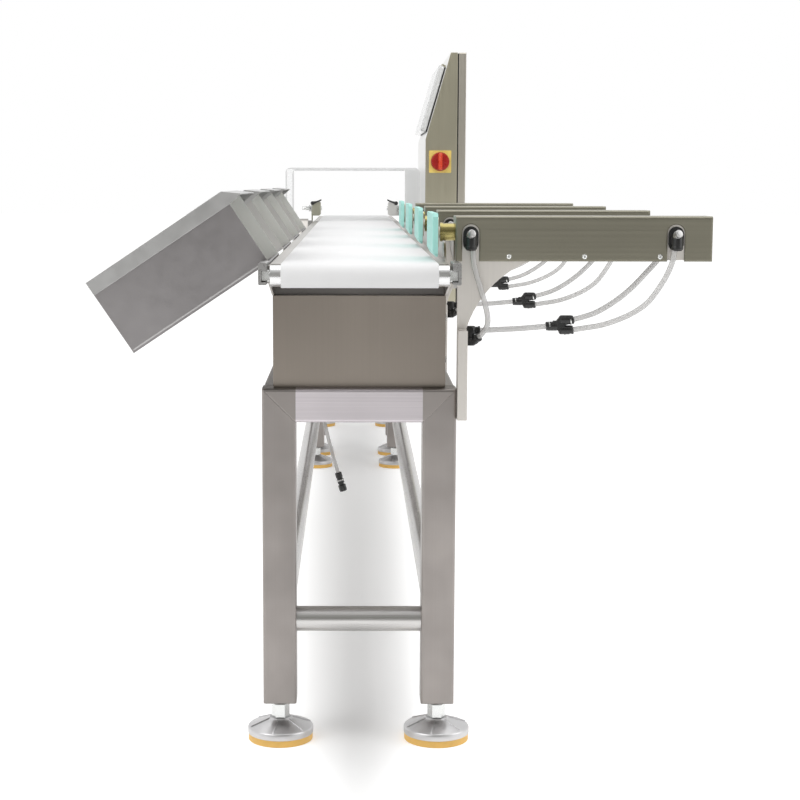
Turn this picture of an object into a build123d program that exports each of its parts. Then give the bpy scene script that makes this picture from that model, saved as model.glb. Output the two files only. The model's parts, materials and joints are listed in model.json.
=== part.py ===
from build123d import *
import os
from math import cos, hypot, pi, radians, sin, tan

# A belt checkweigher: an infeed belt, a weighing belt on a load cell, and a long sorting belt
# with air pushers on one side and chutes on the other.
# Millimetres. +X points to the pushers, +Y along the belts to the infeed, +Z up.
# X counts from the belts' centre line, Y from the front of the sorter's frame, Z from the floor.

# Frames, of square tube with mitred portals
tube = 50
tube_wall = 2
tube_corner = 4
frame_width = 288
rail_top = 541
foot_height = 61
leg_plate = 6
sorter_frame_length = 2500
frame_gap = 178
weigh_frame_length = 660
stretcher_dia = 38
stretcher_wall = 2
stretcher_z = 187

# Feet
stud_dia = 16
stud_up = 46
stud_clearance = 0.2
hex_across = 24
hex_height = 12
pad_dia = 100
pad_neck_dia = 34
pad_neck_height = 2
pad_rim = 9
pad_rim_bevel = 2.5
foot_pad_top = 34
stud_socket = 16
ring_height = 10
ring_inset = 1
ring_width = 15

# Belts and rollers
belt_top = 731
belt_width = 220
belt_thickness = 1.7
belt_gap = 0.3
roller_dia = 30
roller_wall = 3
roller_length = 250
shaft_dia = 12
bearing_width = 8
running_gap = 0.05
seat_gap = 0.1
head_y = -110
tail_set_in = 7
weigh_belt_run = 400
infeed_belt_run = 400
transfer_gap = 4

# Belt bodies, of sheet
cheek_thickness = 3
roller_end_gap = 1
cheek_under_belt = 4
cheek_set_back = 20
sorter_cheek_drop = 49
short_cheek_drop = 35
guard_height = 24
guard_set_back = 120
bed_thickness = 2
bed_flange = 20
arm_width = 12
arm_height = 31
arm_rise = 2
arm_length = 64
arm_web = 4
arm_slot = 16
arm_overhang = 18
block_clearance = 0.3

# Housing under the sorting belt
housing_width = 256
housing_wall = 2
housing_front = 21
housing_set_back = 21
cover_plate = 2
cover_corner = 3
strip_gap = 3
strip_set_back = 6
bolt_dia = 12
bolt_head = 6

# Drive of the sorting belt
motor_dia = 78
motor_length = 170
motor_z = 612
motor_flange = 90
motor_flange_thickness = 12
motor_shaft_dia = 14
motor_back = 62
motor_pulley_dia = 40
tail_pulley_dia = 32
pulley_width = 14
pulley_rim = 2
timing_belt_width = 10
timing_belt_thickness = 2.5
guard_wall = 1.5
guard_clearance = 8
guard_pillar_dia = 10
pulley_set_off = 3

# Pusher stations
station_count = 4
station_pitch = 515
first_station = 40
axis_z = 771
cover_start = 141
cover_length = 376
cover_depth = 60
cover_height = 66
cover_bottom = 729
cover_wall = 1.5
cover_edge = 4
slot_width = 25
slot_top = 783
port_inset = 22
head_length = 36
head_width = 48
head_height = 40
barrel_bore = 32
barrel_wall = 3
bush_dia = 26
bush_length = 22
rod_dia = 12
stroke = 200
piston_length = 20
piston_margin = 4
barrel_slack = 47
plate_thickness = 4
plate_length = 60
plate_height = 44
pad_set_in = 6
pad_thickness = 8
pad_length = 180
pad_depth = 62
pad_top = 800
pad_chamfer = 9
pad_edge = 3
screw_dia = 8
screw_pitch = 111
screw_z = 736
screw_inset = 78
screw_rise = 2
bolt_inset = 38
bolt_offset = 60

# Gussets that carry the pushers
gusset_thickness = 5
gusset_reach = 111
gusset_arm = 14
gusset_foot_z = 497
gusset_curve_z = 630
gusset_foot_height = 132
gusset_foot_depth = 30
foot_channel_wall = 3

# Air fittings and hoses
hose_dia = 8
elbow_dia = 17
elbow_height = 24
port_dia = 13
elbow_stand_off = 9
port_drop = 13
flow_screw_rise = 5
flow_screw_reach = 12.5
branch_port_inset = 7
branch_port_height = 6
branch_y = 6
tee_length = 36
tee_dia = 14
tee_pitch = 15
tee_x = 298
tee_z = 634
joint_x = 166
joint_y = -8
joint_z = 618
joint_height = 29
joint_drop = 15
collar_length = 4
supply_dia = 6
coupling_dia = 11
coupling_length = 17
coupling_tip_dia = 12.5
coupling_tip_length = 12
valve_block_length = 300
valve_block_width = 110
valve_block_height = 48
valve_width = 22

# Chutes
chute_width = 317
chute_front = -57
chute_angle = 33.8
chute_length = 234
chute_height = 118
chute_sheet = 1.5
chute_flange = 26
hood_overlap = 20
hood_lip = 27
hood_clearance = 0.1

# Weighing section
cell_length = 150
cell_width = 40
cell_height = 40
cell_bottom = 600
cell_hole = 24
cell_hole_pitch = 30
cell_pad = 40
cell_pad_height = 4
bracket_plate = 4
bracket_length = 100
bracket_top = 720
base_plate = 6
base_length = 80
leg_bracket_sheet = 3
leg_bracket_length = 60
infeed_bracket_inset = 90
shield_left = -208
shield_right = 188
shield_top = 887
shield_sheet = 5
shield_corner = 15
shield_length = 560
shield_front = -21
shield_plate_width = 40
shield_bar_width = 40
shield_bar_height = 6
shield_bar_gap = 30

# Clamp blocks that hold the photo eyes
eye_dia = 12
eye_length = 58
block_width = 26
block_height = 43
block_depth = 30
block_bottom = 746
block_chamfer = 9
eye_z = 768
post_thickness = 4
post_set_back = 8
post_overlap = 12
post_foot = 6
left_block_reach = 24
right_block_reach = 8
eye_nose = 3
lever_length = 27
lever_rise = 10
lever_inset = 2
lever_drop = 6
lever_hub_dia = 12
lever_hub_height = 14
lever_thickness = 7
lever_gap = 0.3

# Control cabinet
cabinet_front = 203
cabinet_overlap = 24
cabinet_depth = 92
cabinet_bottom = 470
cabinet_top = 1219
cabinet_width = 540
cabinet_sheet = 2
cabinet_rim = 16
slope_height = 249
slope_depth = 72
gasket_thickness = 4
gasket_width = 12
door_depth = 21
door_sheet = 2
door_barrel_dia = 14
door_pin_dia = 8
door_barrel_length = 60
door_ear_length = 20
door_hinge_inset = 90
bracket_tube = 40
bracket_inset = 90
window_side_margin = 70
window_end_margin = 25
bezel_margin = 8
bezel_thickness = 3
screen_depth = 28
lid_width = 420
lid_bottom_margin = 22
lid_top_margin = 38
lid_depth = 17
lid_sheet = 3
lid_gasket_margin = 4
lid_barrel_dia = 9
lid_pin_dia = 5
lid_barrel_length = 60
lid_ear_length = 12
switch_z = 905
switch_plate_size = 65
switch_plate_thickness = 3
switch_x = 246
dial_dia = 55
dial_height = 12
handle_width = 12
handle_height = 14
spindle_dia = 8
spindle_depth = 16
panel_sheet = 2
panel_stand_off = 10
panel_margin = 40
panel_post_dia = 10
panel_post_inset = 15
panel_devices = [
    (120, 130, 45, -120, 90),
    (90, 110, 55, 30, 90),
    (60, 90, 50, 130, 90),
    (360, 35, 30, 0, -40),
    (220, 80, 50, -60, -130),
]

# Worked out from the sizes above
half_frame = frame_width / 2
leg_x = half_frame - tube / 2
weigh_frame_front = sorter_frame_length + frame_gap
portals = [
    0,
    sorter_frame_length - tube,
    weigh_frame_front,
    weigh_frame_front + weigh_frame_length - tube,
]
belt_inside = roller_dia / 2 + belt_gap
belt_outside = belt_inside + belt_thickness
roller_z = belt_top - belt_outside
roller_pitch = 2 * belt_outside + transfer_gap
tail_y = sorter_frame_length - tail_set_in
weigh_front_y = tail_y + roller_pitch
weigh_rear_y = weigh_front_y + weigh_belt_run
infeed_front_y = weigh_rear_y + roller_pitch
infeed_rear_y = infeed_front_y + infeed_belt_run
conveyors = [
    (head_y, tail_y),
    (weigh_front_y, weigh_rear_y),
    (infeed_front_y, infeed_rear_y),
]
short_conveyors = conveyors[1:]
cheek_x = roller_length / 2 + roller_end_gap
cheek_outside = cheek_x + cheek_thickness
cheek_top = belt_top - cheek_under_belt
sorter_cheek_bottom = cheek_top - sorter_cheek_drop
bed_top = roller_z + belt_inside - seat_gap
arm_bottom = belt_top + arm_rise - arm_height
arm_front = head_y - arm_overhang
arm_outside = cheek_outside + arm_width
housing_back = sorter_frame_length - housing_set_back
housing_half = housing_width / 2
stations = [first_station + i * station_pitch for i in range(station_count)]
plate_x = belt_width / 2 - pad_set_in + pad_thickness
bush_start = cover_start - bush_length
cover_end = cover_start + cover_length
cover_top = cover_bottom + cover_height
gusset_back = -head_width / 2
gusset_near = gusset_back - gusset_thickness
cover_near = gusset_near - cover_wall - seat_gap
front_head_x = cover_start + cover_wall + seat_gap
rear_head_x = front_head_x + head_length + piston_length + stroke + barrel_slack
front_port_x = cover_start + port_inset
rear_port_x = rear_head_x + head_length / 2
elbow_y = cover_near - elbow_stand_off
slope = radians(chute_angle)
chute_floor_z = belt_top
chute_inlet_x = -(cheek_outside + chute_sheet)
chute_end_x = chute_inlet_x - chute_length * cos(slope)
hood_height = chute_height + hood_clearance + chute_sheet
chute_left = chute_end_x - hood_height * sin(slope)
shield_y = tail_y + belt_outside + shield_front
cabinet_back = cabinet_front + cabinet_depth
slope_start = cabinet_top - slope_height
cabinet_y = tail_y - cabinet_overlap

# The origin lies on the floor below the middle of the whole machine
middle_x = (cover_end + chute_left) / 2
middle_y = (arm_front + infeed_rear_y + belt_outside) / 2


def spot(x, y, z):
    """A place given from the belts' centre line, the frame's front and the floor."""
    return Vector(x - middle_x, y - middle_y, z)


def from_above(x, y, z):
    """A plane seen from above, with X to the right."""
    return Plane(origin=spot(x, y, z))


def from_front(x, y, z):
    """A plane seen from the front, with X to the right and Z up."""
    return Plane(origin=spot(x, y, z), x_dir=(1, 0, 0), z_dir=(0, -1, 0))


def from_side(x, y, z):
    """A plane seen from the pushers' side, with Y to the right and Z up."""
    return Plane(origin=spot(x, y, z), x_dir=(0, 1, 0), z_dir=(1, 0, 0))


def keep(piece, name):
    """Labels a finished piece and writes its file."""
    piece.part.label = name
    export_step(piece.part, f"parts/{name}.step")


os.makedirs("parts", exist_ok=True)

# Legs: two to a portal, mitred to its cross rail, with a plate at the foot
leg_spots = [(side * leg_x, y + tube / 2) for y in portals for side in (-1, 1)]
with BuildPart() as frame_legs:
    with BuildSketch(*[from_front(0, y, 0) for y in portals]):
        with BuildLine():
            Polyline(
                (half_frame, foot_height),
                (half_frame, rail_top),
                (half_frame - tube, rail_top - tube),
                (half_frame - tube, foot_height),
                close=True,
            )
        make_face()
        mirror(about=Plane.YZ)
    extrude(amount=-tube)
    fillet(edges().filter_by(Axis.Z), tube_corner)
    with BuildSketch(*[from_front(0, y + tube_wall, 0) for y in portals]):
        with BuildLine():
            Polyline(
                (half_frame - tube_wall, foot_height + leg_plate),
                (half_frame - tube_wall, rail_top - tube_wall),
                (half_frame - tube + tube_wall, rail_top - tube + tube_wall),
                (half_frame - tube + tube_wall, foot_height + leg_plate),
                close=True,
            )
        make_face()
        mirror(about=Plane.YZ)
    extrude(amount=2 * tube_wall - tube, mode=Mode.SUBTRACT)
    with BuildSketch(*[from_above(x, y, foot_height) for x, y in leg_spots]):
        Circle(stud_dia / 2 + stud_clearance)
    extrude(amount=leg_plate, mode=Mode.SUBTRACT)
keep(frame_legs, "frame_legs")

# Cross rails: the top of each portal
with BuildPart() as cross_rails:
    for inset in (0, tube_wall):
        with BuildSketch(*[from_front(0, y + inset, 0) for y in portals]):
            with BuildLine():
                Polyline(
                    (half_frame - inset, rail_top - inset),
                    (-half_frame + inset, rail_top - inset),
                    (-half_frame + tube - inset, rail_top - tube + inset),
                    (half_frame - tube + inset, rail_top - tube + inset),
                    close=True,
                )
            make_face()
        extrude(amount=2 * inset - tube, mode=Mode.SUBTRACT if inset else Mode.ADD)
        if inset == 0:
            fillet(edges().filter_by(Axis.X), tube_corner)
keep(cross_rails, "cross_rails")

# Side rails: from portal to portal, and the two links that join the frames
with BuildPart() as side_rails:
    for front, back in zip(portals, portals[1:]):
        planes = [from_front(side * leg_x, front + tube, rail_top - tube / 2) for side in (-1, 1)]
        with BuildSketch(*planes):
            RectangleRounded(tube, tube, tube_corner)
            inside = tube - 2 * tube_wall
            RectangleRounded(inside, inside, tube_corner - tube_wall, mode=Mode.SUBTRACT)
        extrude(amount=front + tube - back)
keep(side_rails, "side_rails")

# Stretchers: polished round tubes across each portal and along each side
with BuildPart() as stretchers:
    inner_half = half_frame - tube
    with BuildSketch(*[from_side(-inner_half, y + tube / 2, stretcher_z) for y in portals]):
        Circle(stretcher_dia / 2)
        Circle(stretcher_dia / 2 - stretcher_wall, mode=Mode.SUBTRACT)
    extrude(amount=2 * inner_half)
    for front, back in ((portals[0], portals[1]), (portals[2], portals[3])):
        with BuildSketch(*[from_front(side * leg_x, front + tube, stretcher_z) for side in (-1, 1)]):
            Circle(stretcher_dia / 2)
            Circle(stretcher_dia / 2 - stretcher_wall, mode=Mode.SUBTRACT)
        extrude(amount=front + tube - back)
keep(stretchers, "stretchers")

# Foot studs: threaded rod with a hexagon on the pad
stud_bottom = foot_pad_top - stud_socket
with BuildPart() as foot_studs:
    with BuildSketch(*[from_above(x, y, stud_bottom) for x, y in leg_spots]):
        Circle(stud_dia / 2)
    extrude(amount=foot_height + stud_up - stud_bottom)
    with BuildSketch(*[from_above(x, y, foot_pad_top + seat_gap) for x, y in leg_spots]):
        RegularPolygon(hex_across / 2, 6, major_radius=False)
    extrude(amount=hex_height)
keep(foot_studs, "foot_studs")

# Foot pads: a shallow cone with an upright rim and a low neck that holds the stud
rim_top = ring_height + pad_rim
with BuildPart() as foot_pads:
    for x, y in leg_spots:
        with BuildSketch(from_front(x, y, 0)):
            with BuildLine():
                Polyline(
                    (0, ring_height),
                    (pad_dia / 2, ring_height),
                    (pad_dia / 2, rim_top),
                    (pad_dia / 2 - pad_rim_bevel, rim_top + pad_rim_bevel),
                    (pad_neck_dia / 2, foot_pad_top - pad_neck_height),
                    (pad_neck_dia / 2, foot_pad_top),
                    (stud_dia / 2 + stud_clearance, foot_pad_top),
                    (stud_dia / 2 + stud_clearance, stud_bottom),
                    (0, stud_bottom),
                    close=True,
                )
            make_face()
        revolve(axis=Axis(spot(x, y, 0), (0, 0, 1)))
keep(foot_pads, "foot_pads")

# Foot rings: the rubber tread below each pad
with BuildPart() as foot_rings:
    with BuildSketch(*[from_above(x, y, 0) for x, y in leg_spots]):
        Circle(pad_dia / 2 - ring_inset)
        Circle(pad_dia / 2 - ring_inset - ring_width, mode=Mode.SUBTRACT)
    extrude(amount=ring_height)
keep(foot_rings, "foot_rings")

# Housing: the closed box below the sorting belt
housing_floor = rail_top
housing_roof = sorter_cheek_bottom
housing_z = (housing_floor + housing_roof) / 2
shell_front = housing_front + cover_plate
motor_y = housing_back - motor_back
with BuildPart() as body_shell:
    with BuildSketch(from_front(0, shell_front, housing_z)):
        Rectangle(housing_width, housing_roof - housing_floor)
        Rectangle(
            housing_width - 2 * housing_wall,
            housing_roof - housing_floor - 2 * housing_wall,
            mode=Mode.SUBTRACT,
        )
    extrude(amount=shell_front - housing_back + cover_plate)
    with BuildSketch(from_side(-housing_half, motor_y, motor_z)):
        Circle(motor_shaft_dia)
    extrude(amount=housing_wall, mode=Mode.SUBTRACT)
keep(body_shell, "body_shell")

# End covers of the housing, and the strips that close the gap between its roof and the belt
with BuildPart() as body_end_covers:
    for y in (housing_front, housing_back - cover_plate):
        with BuildSketch(from_front(0, y, housing_z)):
            RectangleRounded(housing_width, housing_roof - housing_floor, cover_corner)
        extrude(amount=-cover_plate)
    strip_height = roller_z - belt_outside - strip_gap - housing_roof
    for y in (housing_front + strip_set_back, housing_back - strip_set_back - cover_plate):
        with BuildSketch(from_front(0, y, housing_roof + strip_height / 2)):
            Rectangle(2 * (cheek_x - seat_gap), strip_height)
        extrude(amount=-cover_plate)
keep(body_end_covers, "body_end_covers")

# Cheeks: the sheet sides of the three belt bodies; the sorter's right one rises as a guard
cheek_front = head_y + cheek_set_back
cheek_back = tail_y - cheek_set_back
with BuildPart() as side_plates:
    for side in (-1, 1):
        start = cheek_x if side > 0 else -cheek_outside
        with BuildSketch(from_side(start, 0, 0)):
            with BuildLine():
                Polyline(
                    (cheek_front, cheek_top),
                    (cheek_front, arm_bottom),
                    (housing_front, sorter_cheek_bottom),
                    (housing_back, sorter_cheek_bottom),
                    (cheek_back, arm_bottom),
                    (cheek_back, cheek_top),
                    close=True,
                )
            make_face()
            if side > 0:
                guard_front = cheek_front + guard_set_back
                guard_back = cheek_back - guard_set_back
                guard_top = cheek_top + cheek_under_belt + guard_height
                with BuildLine():
                    Polyline(
                        (guard_front, cheek_top - 1),
                        (guard_front + guard_height, guard_top),
                        (guard_back - guard_height, guard_top),
                        (guard_back, cheek_top - 1),
                        close=True,
                    )
                make_face()
        extrude(amount=cheek_thickness)
        for front, back in short_conveyors:
            with BuildSketch(from_side(start, (front + back) / 2, cheek_top - short_cheek_drop / 2)):
                RectangleRounded(back - front + roller_dia, short_cheek_drop, 6)
                with Locations(
                    ((front - back) / 2, roller_z - cheek_top + short_cheek_drop / 2),
                    ((back - front) / 2, roller_z - cheek_top + short_cheek_drop / 2),
                ):
                    Circle(shaft_dia / 2 + seat_gap, mode=Mode.SUBTRACT)
            extrude(amount=cheek_thickness)
keep(side_plates, "side_plates")

# Nose arms: slotted channels that hold the head roller, and bored blocks that hold the tail one
with BuildPart() as nose_arms:
    for side in (-1, 1):
        inner = side * cheek_outside
        outer = side * arm_outside
        mid_x = (inner + outer) / 2
        for front in (arm_front, tail_y + arm_overhang - arm_length):
            with BuildSketch(from_front(mid_x, front, arm_bottom + arm_height / 2)):
                RectangleRounded(arm_width, arm_height, 2)
            extrude(amount=-arm_length)
        slot_x = inner + side * (arm_width - arm_web) / 2
        with BuildSketch(from_front(slot_x, arm_front, roller_z)):
            Rectangle(arm_width - arm_web, arm_slot)
        extrude(amount=-arm_length, mode=Mode.SUBTRACT)
        with BuildSketch(from_side(min(inner, outer), tail_y, roller_z)):
            Circle(shaft_dia + seat_gap)
        extrude(amount=arm_width, mode=Mode.SUBTRACT)
keep(nose_arms, "nose_arms")

# Slider beds: a sheet below each belt's upper run, folded down onto the cheeks
with BuildPart() as slider_beds:
    for front, back in conveyors:
        bed_front = front + roller_dia
        bed_back = back - roller_dia
        with BuildSketch(from_front(0, bed_front, bed_top)):
            with Locations((0, -bed_thickness / 2)):
                Rectangle(2 * cheek_x, bed_thickness)
            for side in (-1, 1):
                with Locations((side * (cheek_x - bed_thickness / 2), -bed_flange / 2)):
                    Rectangle(bed_thickness, bed_flange)
        extrude(amount=bed_front - bed_back)
keep(slider_beds, "slider_beds")

# Roller shafts: plain shafts that don't turn; the head one has square ends in its arms
fixed_axes = [head_y, weigh_front_y, weigh_rear_y, infeed_front_y, infeed_rear_y]
with BuildPart() as roller_shafts:
    for y in fixed_axes:
        reach = cheek_outside if y != head_y else cheek_x
        with BuildSketch(from_side(-reach, y, roller_z)):
            Circle(shaft_dia / 2)
        extrude(amount=2 * reach)
    block_side = arm_slot - 2 * block_clearance
    block_length = cheek_outside + arm_width - arm_web - block_clearance - cheek_x
    for start in (cheek_x, -cheek_x - block_length):
        with BuildSketch(from_side(start, head_y, roller_z)):
            RectangleRounded(block_side, block_side, 1.5)
        extrude(amount=block_length)
keep(roller_shafts, "roller_shafts")

# Bearings: a ring at each end of each roller, and one in each tail arm
bearing_in_roller = roller_dia / 2 - roller_wall - running_gap
bearing_in_arm = shaft_dia
with BuildPart() as roller_bearings:
    for y in fixed_axes:
        for start in (-roller_length / 2 + 2, roller_length / 2 - 2 - bearing_width):
            with BuildSketch(from_side(start, y, roller_z)):
                Circle(bearing_in_roller)
                Circle(shaft_dia / 2 + seat_gap, mode=Mode.SUBTRACT)
            extrude(amount=bearing_width)
    for start in (-arm_outside + 2, cheek_outside + 2):
        with BuildSketch(from_side(start, tail_y, roller_z)):
            Circle(bearing_in_arm)
            Circle(shaft_dia / 2 + running_gap, mode=Mode.SUBTRACT)
        extrude(amount=bearing_width)
keep(roller_bearings, "roller_bearings")

# Idle rollers: open tubes that turn on their bearings
idle_rollers = {
    "head_roller": head_y,
    "weigh_roller_front": weigh_front_y,
    "weigh_roller_rear": weigh_rear_y,
    "infeed_roller_front": infeed_front_y,
    "infeed_roller_rear": infeed_rear_y,
}
for roller_name, y in idle_rollers.items():
    with BuildPart() as roller:
        with BuildSketch(from_side(-roller_length / 2, y, roller_z)):
            Circle(roller_dia / 2)
            Circle(roller_dia / 2 - roller_wall, mode=Mode.SUBTRACT)
        extrude(amount=roller_length)
    keep(roller, roller_name)

# Tail roller: drives the sorting belt; its left journal carries a toothless timing pulley
pulley_start = -arm_outside - pulley_set_off - pulley_width
with BuildPart() as tail_roller:
    with BuildSketch(from_side(-roller_length / 2, tail_y, roller_z)):
        Circle(roller_dia / 2)
    extrude(amount=roller_length)
    with BuildSketch(from_side(pulley_start, tail_y, roller_z)):
        Circle(shaft_dia / 2)
    extrude(amount=arm_outside - pulley_start)
    with BuildSketch(from_side(pulley_start, tail_y, roller_z)):
        Circle(tail_pulley_dia / 2)
    extrude(amount=pulley_width)
    for start in (pulley_start, pulley_start + pulley_width - pulley_rim):
        with BuildSketch(from_side(start, tail_y, roller_z)):
            Circle(tail_pulley_dia / 2 + 2 * pulley_rim)
        extrude(amount=pulley_rim)
keep(tail_roller, "tail_roller")

# Motor pulley, with the motor's shaft
motor_face = -housing_half + housing_wall
with BuildPart() as motor_pulley:
    with BuildSketch(from_side(pulley_start, motor_y, motor_z)):
        Circle(motor_shaft_dia / 2)
    extrude(amount=motor_face - pulley_start + 2 * motor_flange_thickness)
    with BuildSketch(from_side(pulley_start, motor_y, motor_z)):
        Circle(motor_pulley_dia / 2)
    extrude(amount=pulley_width)
    for start in (pulley_start, pulley_start + pulley_width - pulley_rim):
        with BuildSketch(from_side(start, motor_y, motor_z)):
            Circle(motor_pulley_dia / 2 + 2 * pulley_rim)
        extrude(amount=pulley_rim)
keep(motor_pulley, "motor_pulley")

# Drive motor: on the left wall inside the housing
with BuildPart() as drive_motor:
    with BuildSketch(from_side(motor_face, motor_y, motor_z)):
        RectangleRounded(motor_flange, motor_flange, 8)
    extrude(amount=motor_flange_thickness)
    with BuildSketch(from_side(motor_face + motor_flange_thickness, motor_y, motor_z)):
        Circle(motor_dia / 2)
    extrude(amount=motor_length)
    with BuildSketch(from_side(motor_face, motor_y, motor_z)):
        Circle(motor_shaft_dia / 2 + running_gap)
    extrude(amount=2 * motor_flange_thickness + 1, mode=Mode.SUBTRACT)
keep(drive_motor, "drive_motor")

# Timing belt: round both pulleys
belt_start = pulley_start + (pulley_width - timing_belt_width) / 2
with BuildPart() as timing_belt:
    for grow in (timing_belt_thickness, 0):
        with BuildSketch(from_side(belt_start, 0, 0)):
            with Locations((tail_y, roller_z)):
                Circle(tail_pulley_dia / 2 + belt_gap + grow)
            with Locations((motor_y, motor_z)):
                Circle(motor_pulley_dia / 2 + belt_gap + grow)
            make_hull()
        extrude(amount=timing_belt_width, mode=Mode.ADD if grow else Mode.SUBTRACT)
keep(timing_belt, "timing_belt")

# Drive guard: a sheet case over the timing belt, open to the machine
guard_inner = -arm_outside - seat_gap
guard_outer = pulley_start - guard_clearance
with BuildPart() as drive_guard:
    for shrink in (0, guard_wall):
        with BuildSketch(from_side(guard_outer + shrink, 0, 0)):
            with Locations((tail_y, roller_z)):
                Circle(tail_pulley_dia / 2 + guard_clearance - shrink)
            with Locations((motor_y, motor_z)):
                Circle(motor_pulley_dia / 2 + 2 * guard_clearance - shrink)
            make_hull()
        extrude(amount=guard_inner - guard_outer, mode=Mode.SUBTRACT if shrink else Mode.ADD)
    rim = motor_pulley_dia / 2 + 2 * guard_clearance
    for y, z in ((motor_y - rim, motor_z), (motor_y, motor_z - rim)):
        with BuildSketch(from_side(guard_outer, y, z)):
            Circle(guard_pillar_dia / 2)
        extrude(amount=-housing_half - guard_outer)
keep(drive_guard, "drive_guard")

# Belts: one closed band for each conveyor
with BuildPart() as conveyor_belts:
    for front, back in conveyors:
        for radius, mode in ((belt_outside, Mode.ADD), (belt_inside, Mode.SUBTRACT)):
            with BuildSketch(from_side(-belt_width / 2, (front + back) / 2, roller_z)):
                SlotCenterToCenter(back - front, 2 * radius)
            extrude(amount=belt_width, mode=mode)
keep(conveyor_belts, "conveyor_belts")

# Valve block: a manifold on the housing's floor with one valve to a pusher
valve_y = stations[1]
with BuildPart() as valve_block:
    manifold_height = valve_block_height / 2
    with BuildSketch(from_above(0, valve_y, housing_floor + housing_wall)):
        Rectangle(valve_block_width, valve_block_length)
    extrude(amount=manifold_height)
    with BuildSketch(from_above(0, valve_y, housing_floor + housing_wall + manifold_height)):
        with GridLocations(0, 3 * valve_width, 1, station_count):
            Rectangle(valve_block_width, valve_width)
    extrude(amount=valve_block_height - manifold_height)
keep(valve_block, "valve_block")

# Screws: bolts on the housing's right side and button heads on the pusher covers
bolt_rows = [housing_floor + 0.25 * (housing_roof - housing_floor), housing_roof - bolt_inset]
screw_xs = [cover_start + screw_inset + i * screw_pitch for i in range(3)]
with BuildPart() as machine_screws:
    bolt_ys = [y + bolt_offset for y in stations]
    with BuildSketch(*[from_side(housing_half, y, z) for y in bolt_ys for z in bolt_rows]):
        RegularPolygon(bolt_dia / 2, 6)
    extrude(amount=bolt_head)
    near_faces = [(x, y + cover_near) for y in stations for x in screw_xs]
    with BuildSketch(*[from_front(x, y, screw_z) for x, y in near_faces]):
        Circle(screw_dia / 2)
    extrude(amount=screw_rise, taper=30)
keep(machine_screws, "machine_screws")

# Pusher covers: folded boxes open below, slotted for the air fittings
with BuildPart() as pusher_covers:
    cover_mid = cover_near + cover_depth / 2
    cover_z = (cover_bottom + cover_top) / 2
    with BuildSketch(*[from_side(cover_start, y + cover_mid, cover_z) for y in stations]):
        Rectangle(cover_depth, cover_height)
        fillet(vertices().group_by(Axis.Y)[-1], cover_edge)
    extrude(amount=cover_length)
    inside_z = (cover_bottom + cover_top - cover_wall) / 2
    inside = [from_side(cover_start + cover_wall, y + cover_mid, inside_z) for y in stations]
    with BuildSketch(*inside):
        Rectangle(cover_depth - 2 * cover_wall, cover_height - cover_wall)
        fillet(vertices().group_by(Axis.Y)[-1], cover_edge - cover_wall)
    extrude(amount=cover_length - 2 * cover_wall, mode=Mode.SUBTRACT)
    with BuildSketch(*[from_side(cover_start, y, axis_z) for y in stations]):
        Circle(bush_dia / 2 + seat_gap)
        with Locations((0, -bush_dia)):
            Rectangle(bush_dia + 2 * seat_gap, 2 * bush_dia)
    extrude(amount=cover_wall, mode=Mode.SUBTRACT)
    for port_x in (front_port_x, rear_port_x):
        arch_z = slot_top - slot_width / 2
        with BuildSketch(*[from_front(port_x, y + cover_near, arch_z) for y in stations]):
            Circle(slot_width / 2)
            with Locations((0, (cover_bottom - arch_z) / 2)):
                Rectangle(slot_width, arch_z - cover_bottom)
        extrude(amount=-cover_wall, mode=Mode.SUBTRACT)
keep(pusher_covers, "pusher_covers")

# Cylinders: a round barrel between two square heads
rod_z_planes = {x: [from_side(x, y, axis_z) for y in stations] for x in (front_head_x, rear_head_x)}
barrel_start = front_head_x + head_length
with BuildPart() as pusher_cylinders:
    for head_x, planes in rod_z_planes.items():
        with BuildSketch(*planes):
            RectangleRounded(head_width, head_height, 4)
        extrude(amount=head_length)
    with BuildSketch(*rod_z_planes[front_head_x]):
        Circle(rod_dia / 2 + 0.5)
    extrude(amount=head_length, mode=Mode.SUBTRACT)
    with BuildSketch(*[from_side(barrel_start, y, axis_z) for y in stations]):
        Circle(barrel_bore / 2 + barrel_wall)
        Circle(barrel_bore / 2, mode=Mode.SUBTRACT)
    extrude(amount=rear_head_x - barrel_start)
keep(pusher_cylinders, "pusher_cylinders")

# Rod bushes: brass noses that guide the rods
with BuildPart() as rod_bushes:
    with BuildSketch(*[from_side(bush_start, y, axis_z) for y in stations]):
        Circle(bush_dia / 2)
        Circle(rod_dia / 2 + running_gap, mode=Mode.SUBTRACT)
    extrude(amount=bush_length + cover_wall)
    with BuildSketch(*[from_side(bush_start, y, axis_z) for y in stations]):
        Circle(bush_dia / 2 + 1)
        Circle(bush_dia / 2 - 1, mode=Mode.SUBTRACT)
    extrude(amount=4)
keep(rod_bushes, "rod_bushes")

# Pushers: piston, rod and plate in one, and the pad in front of the plate
piston_x = rear_head_x - piston_length - piston_margin
plate_start = plate_x + seat_gap
for number, y in enumerate(stations, start=1):
    with BuildPart() as pusher:
        with BuildSketch(from_side(plate_start, y, axis_z)):
            Circle(rod_dia / 2)
        extrude(amount=piston_x - plate_start)
        with BuildSketch(from_side(piston_x, y, axis_z)):
            Circle(barrel_bore / 2 - running_gap)
        extrude(amount=piston_length)
        with BuildSketch(from_side(plate_start, y, axis_z)):
            RectangleRounded(plate_length, plate_height, 6)
        extrude(amount=plate_thickness)
        with BuildSketch(from_side(plate_x - pad_thickness, y, pad_top - pad_depth / 2)):
            RectangleRounded(pad_length, pad_depth, 5)
        extrude(amount=pad_thickness)
        with BuildSketch(from_front(plate_x - pad_thickness, y - pad_length / 2, pad_top - pad_depth)):
            with BuildLine():
                Polyline((0, 0), (0, pad_chamfer), (pad_thickness - pad_edge, 0), close=True)
            make_face()
        extrude(amount=-pad_length, mode=Mode.SUBTRACT)
    keep(pusher, f"pusher_{number}")

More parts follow.
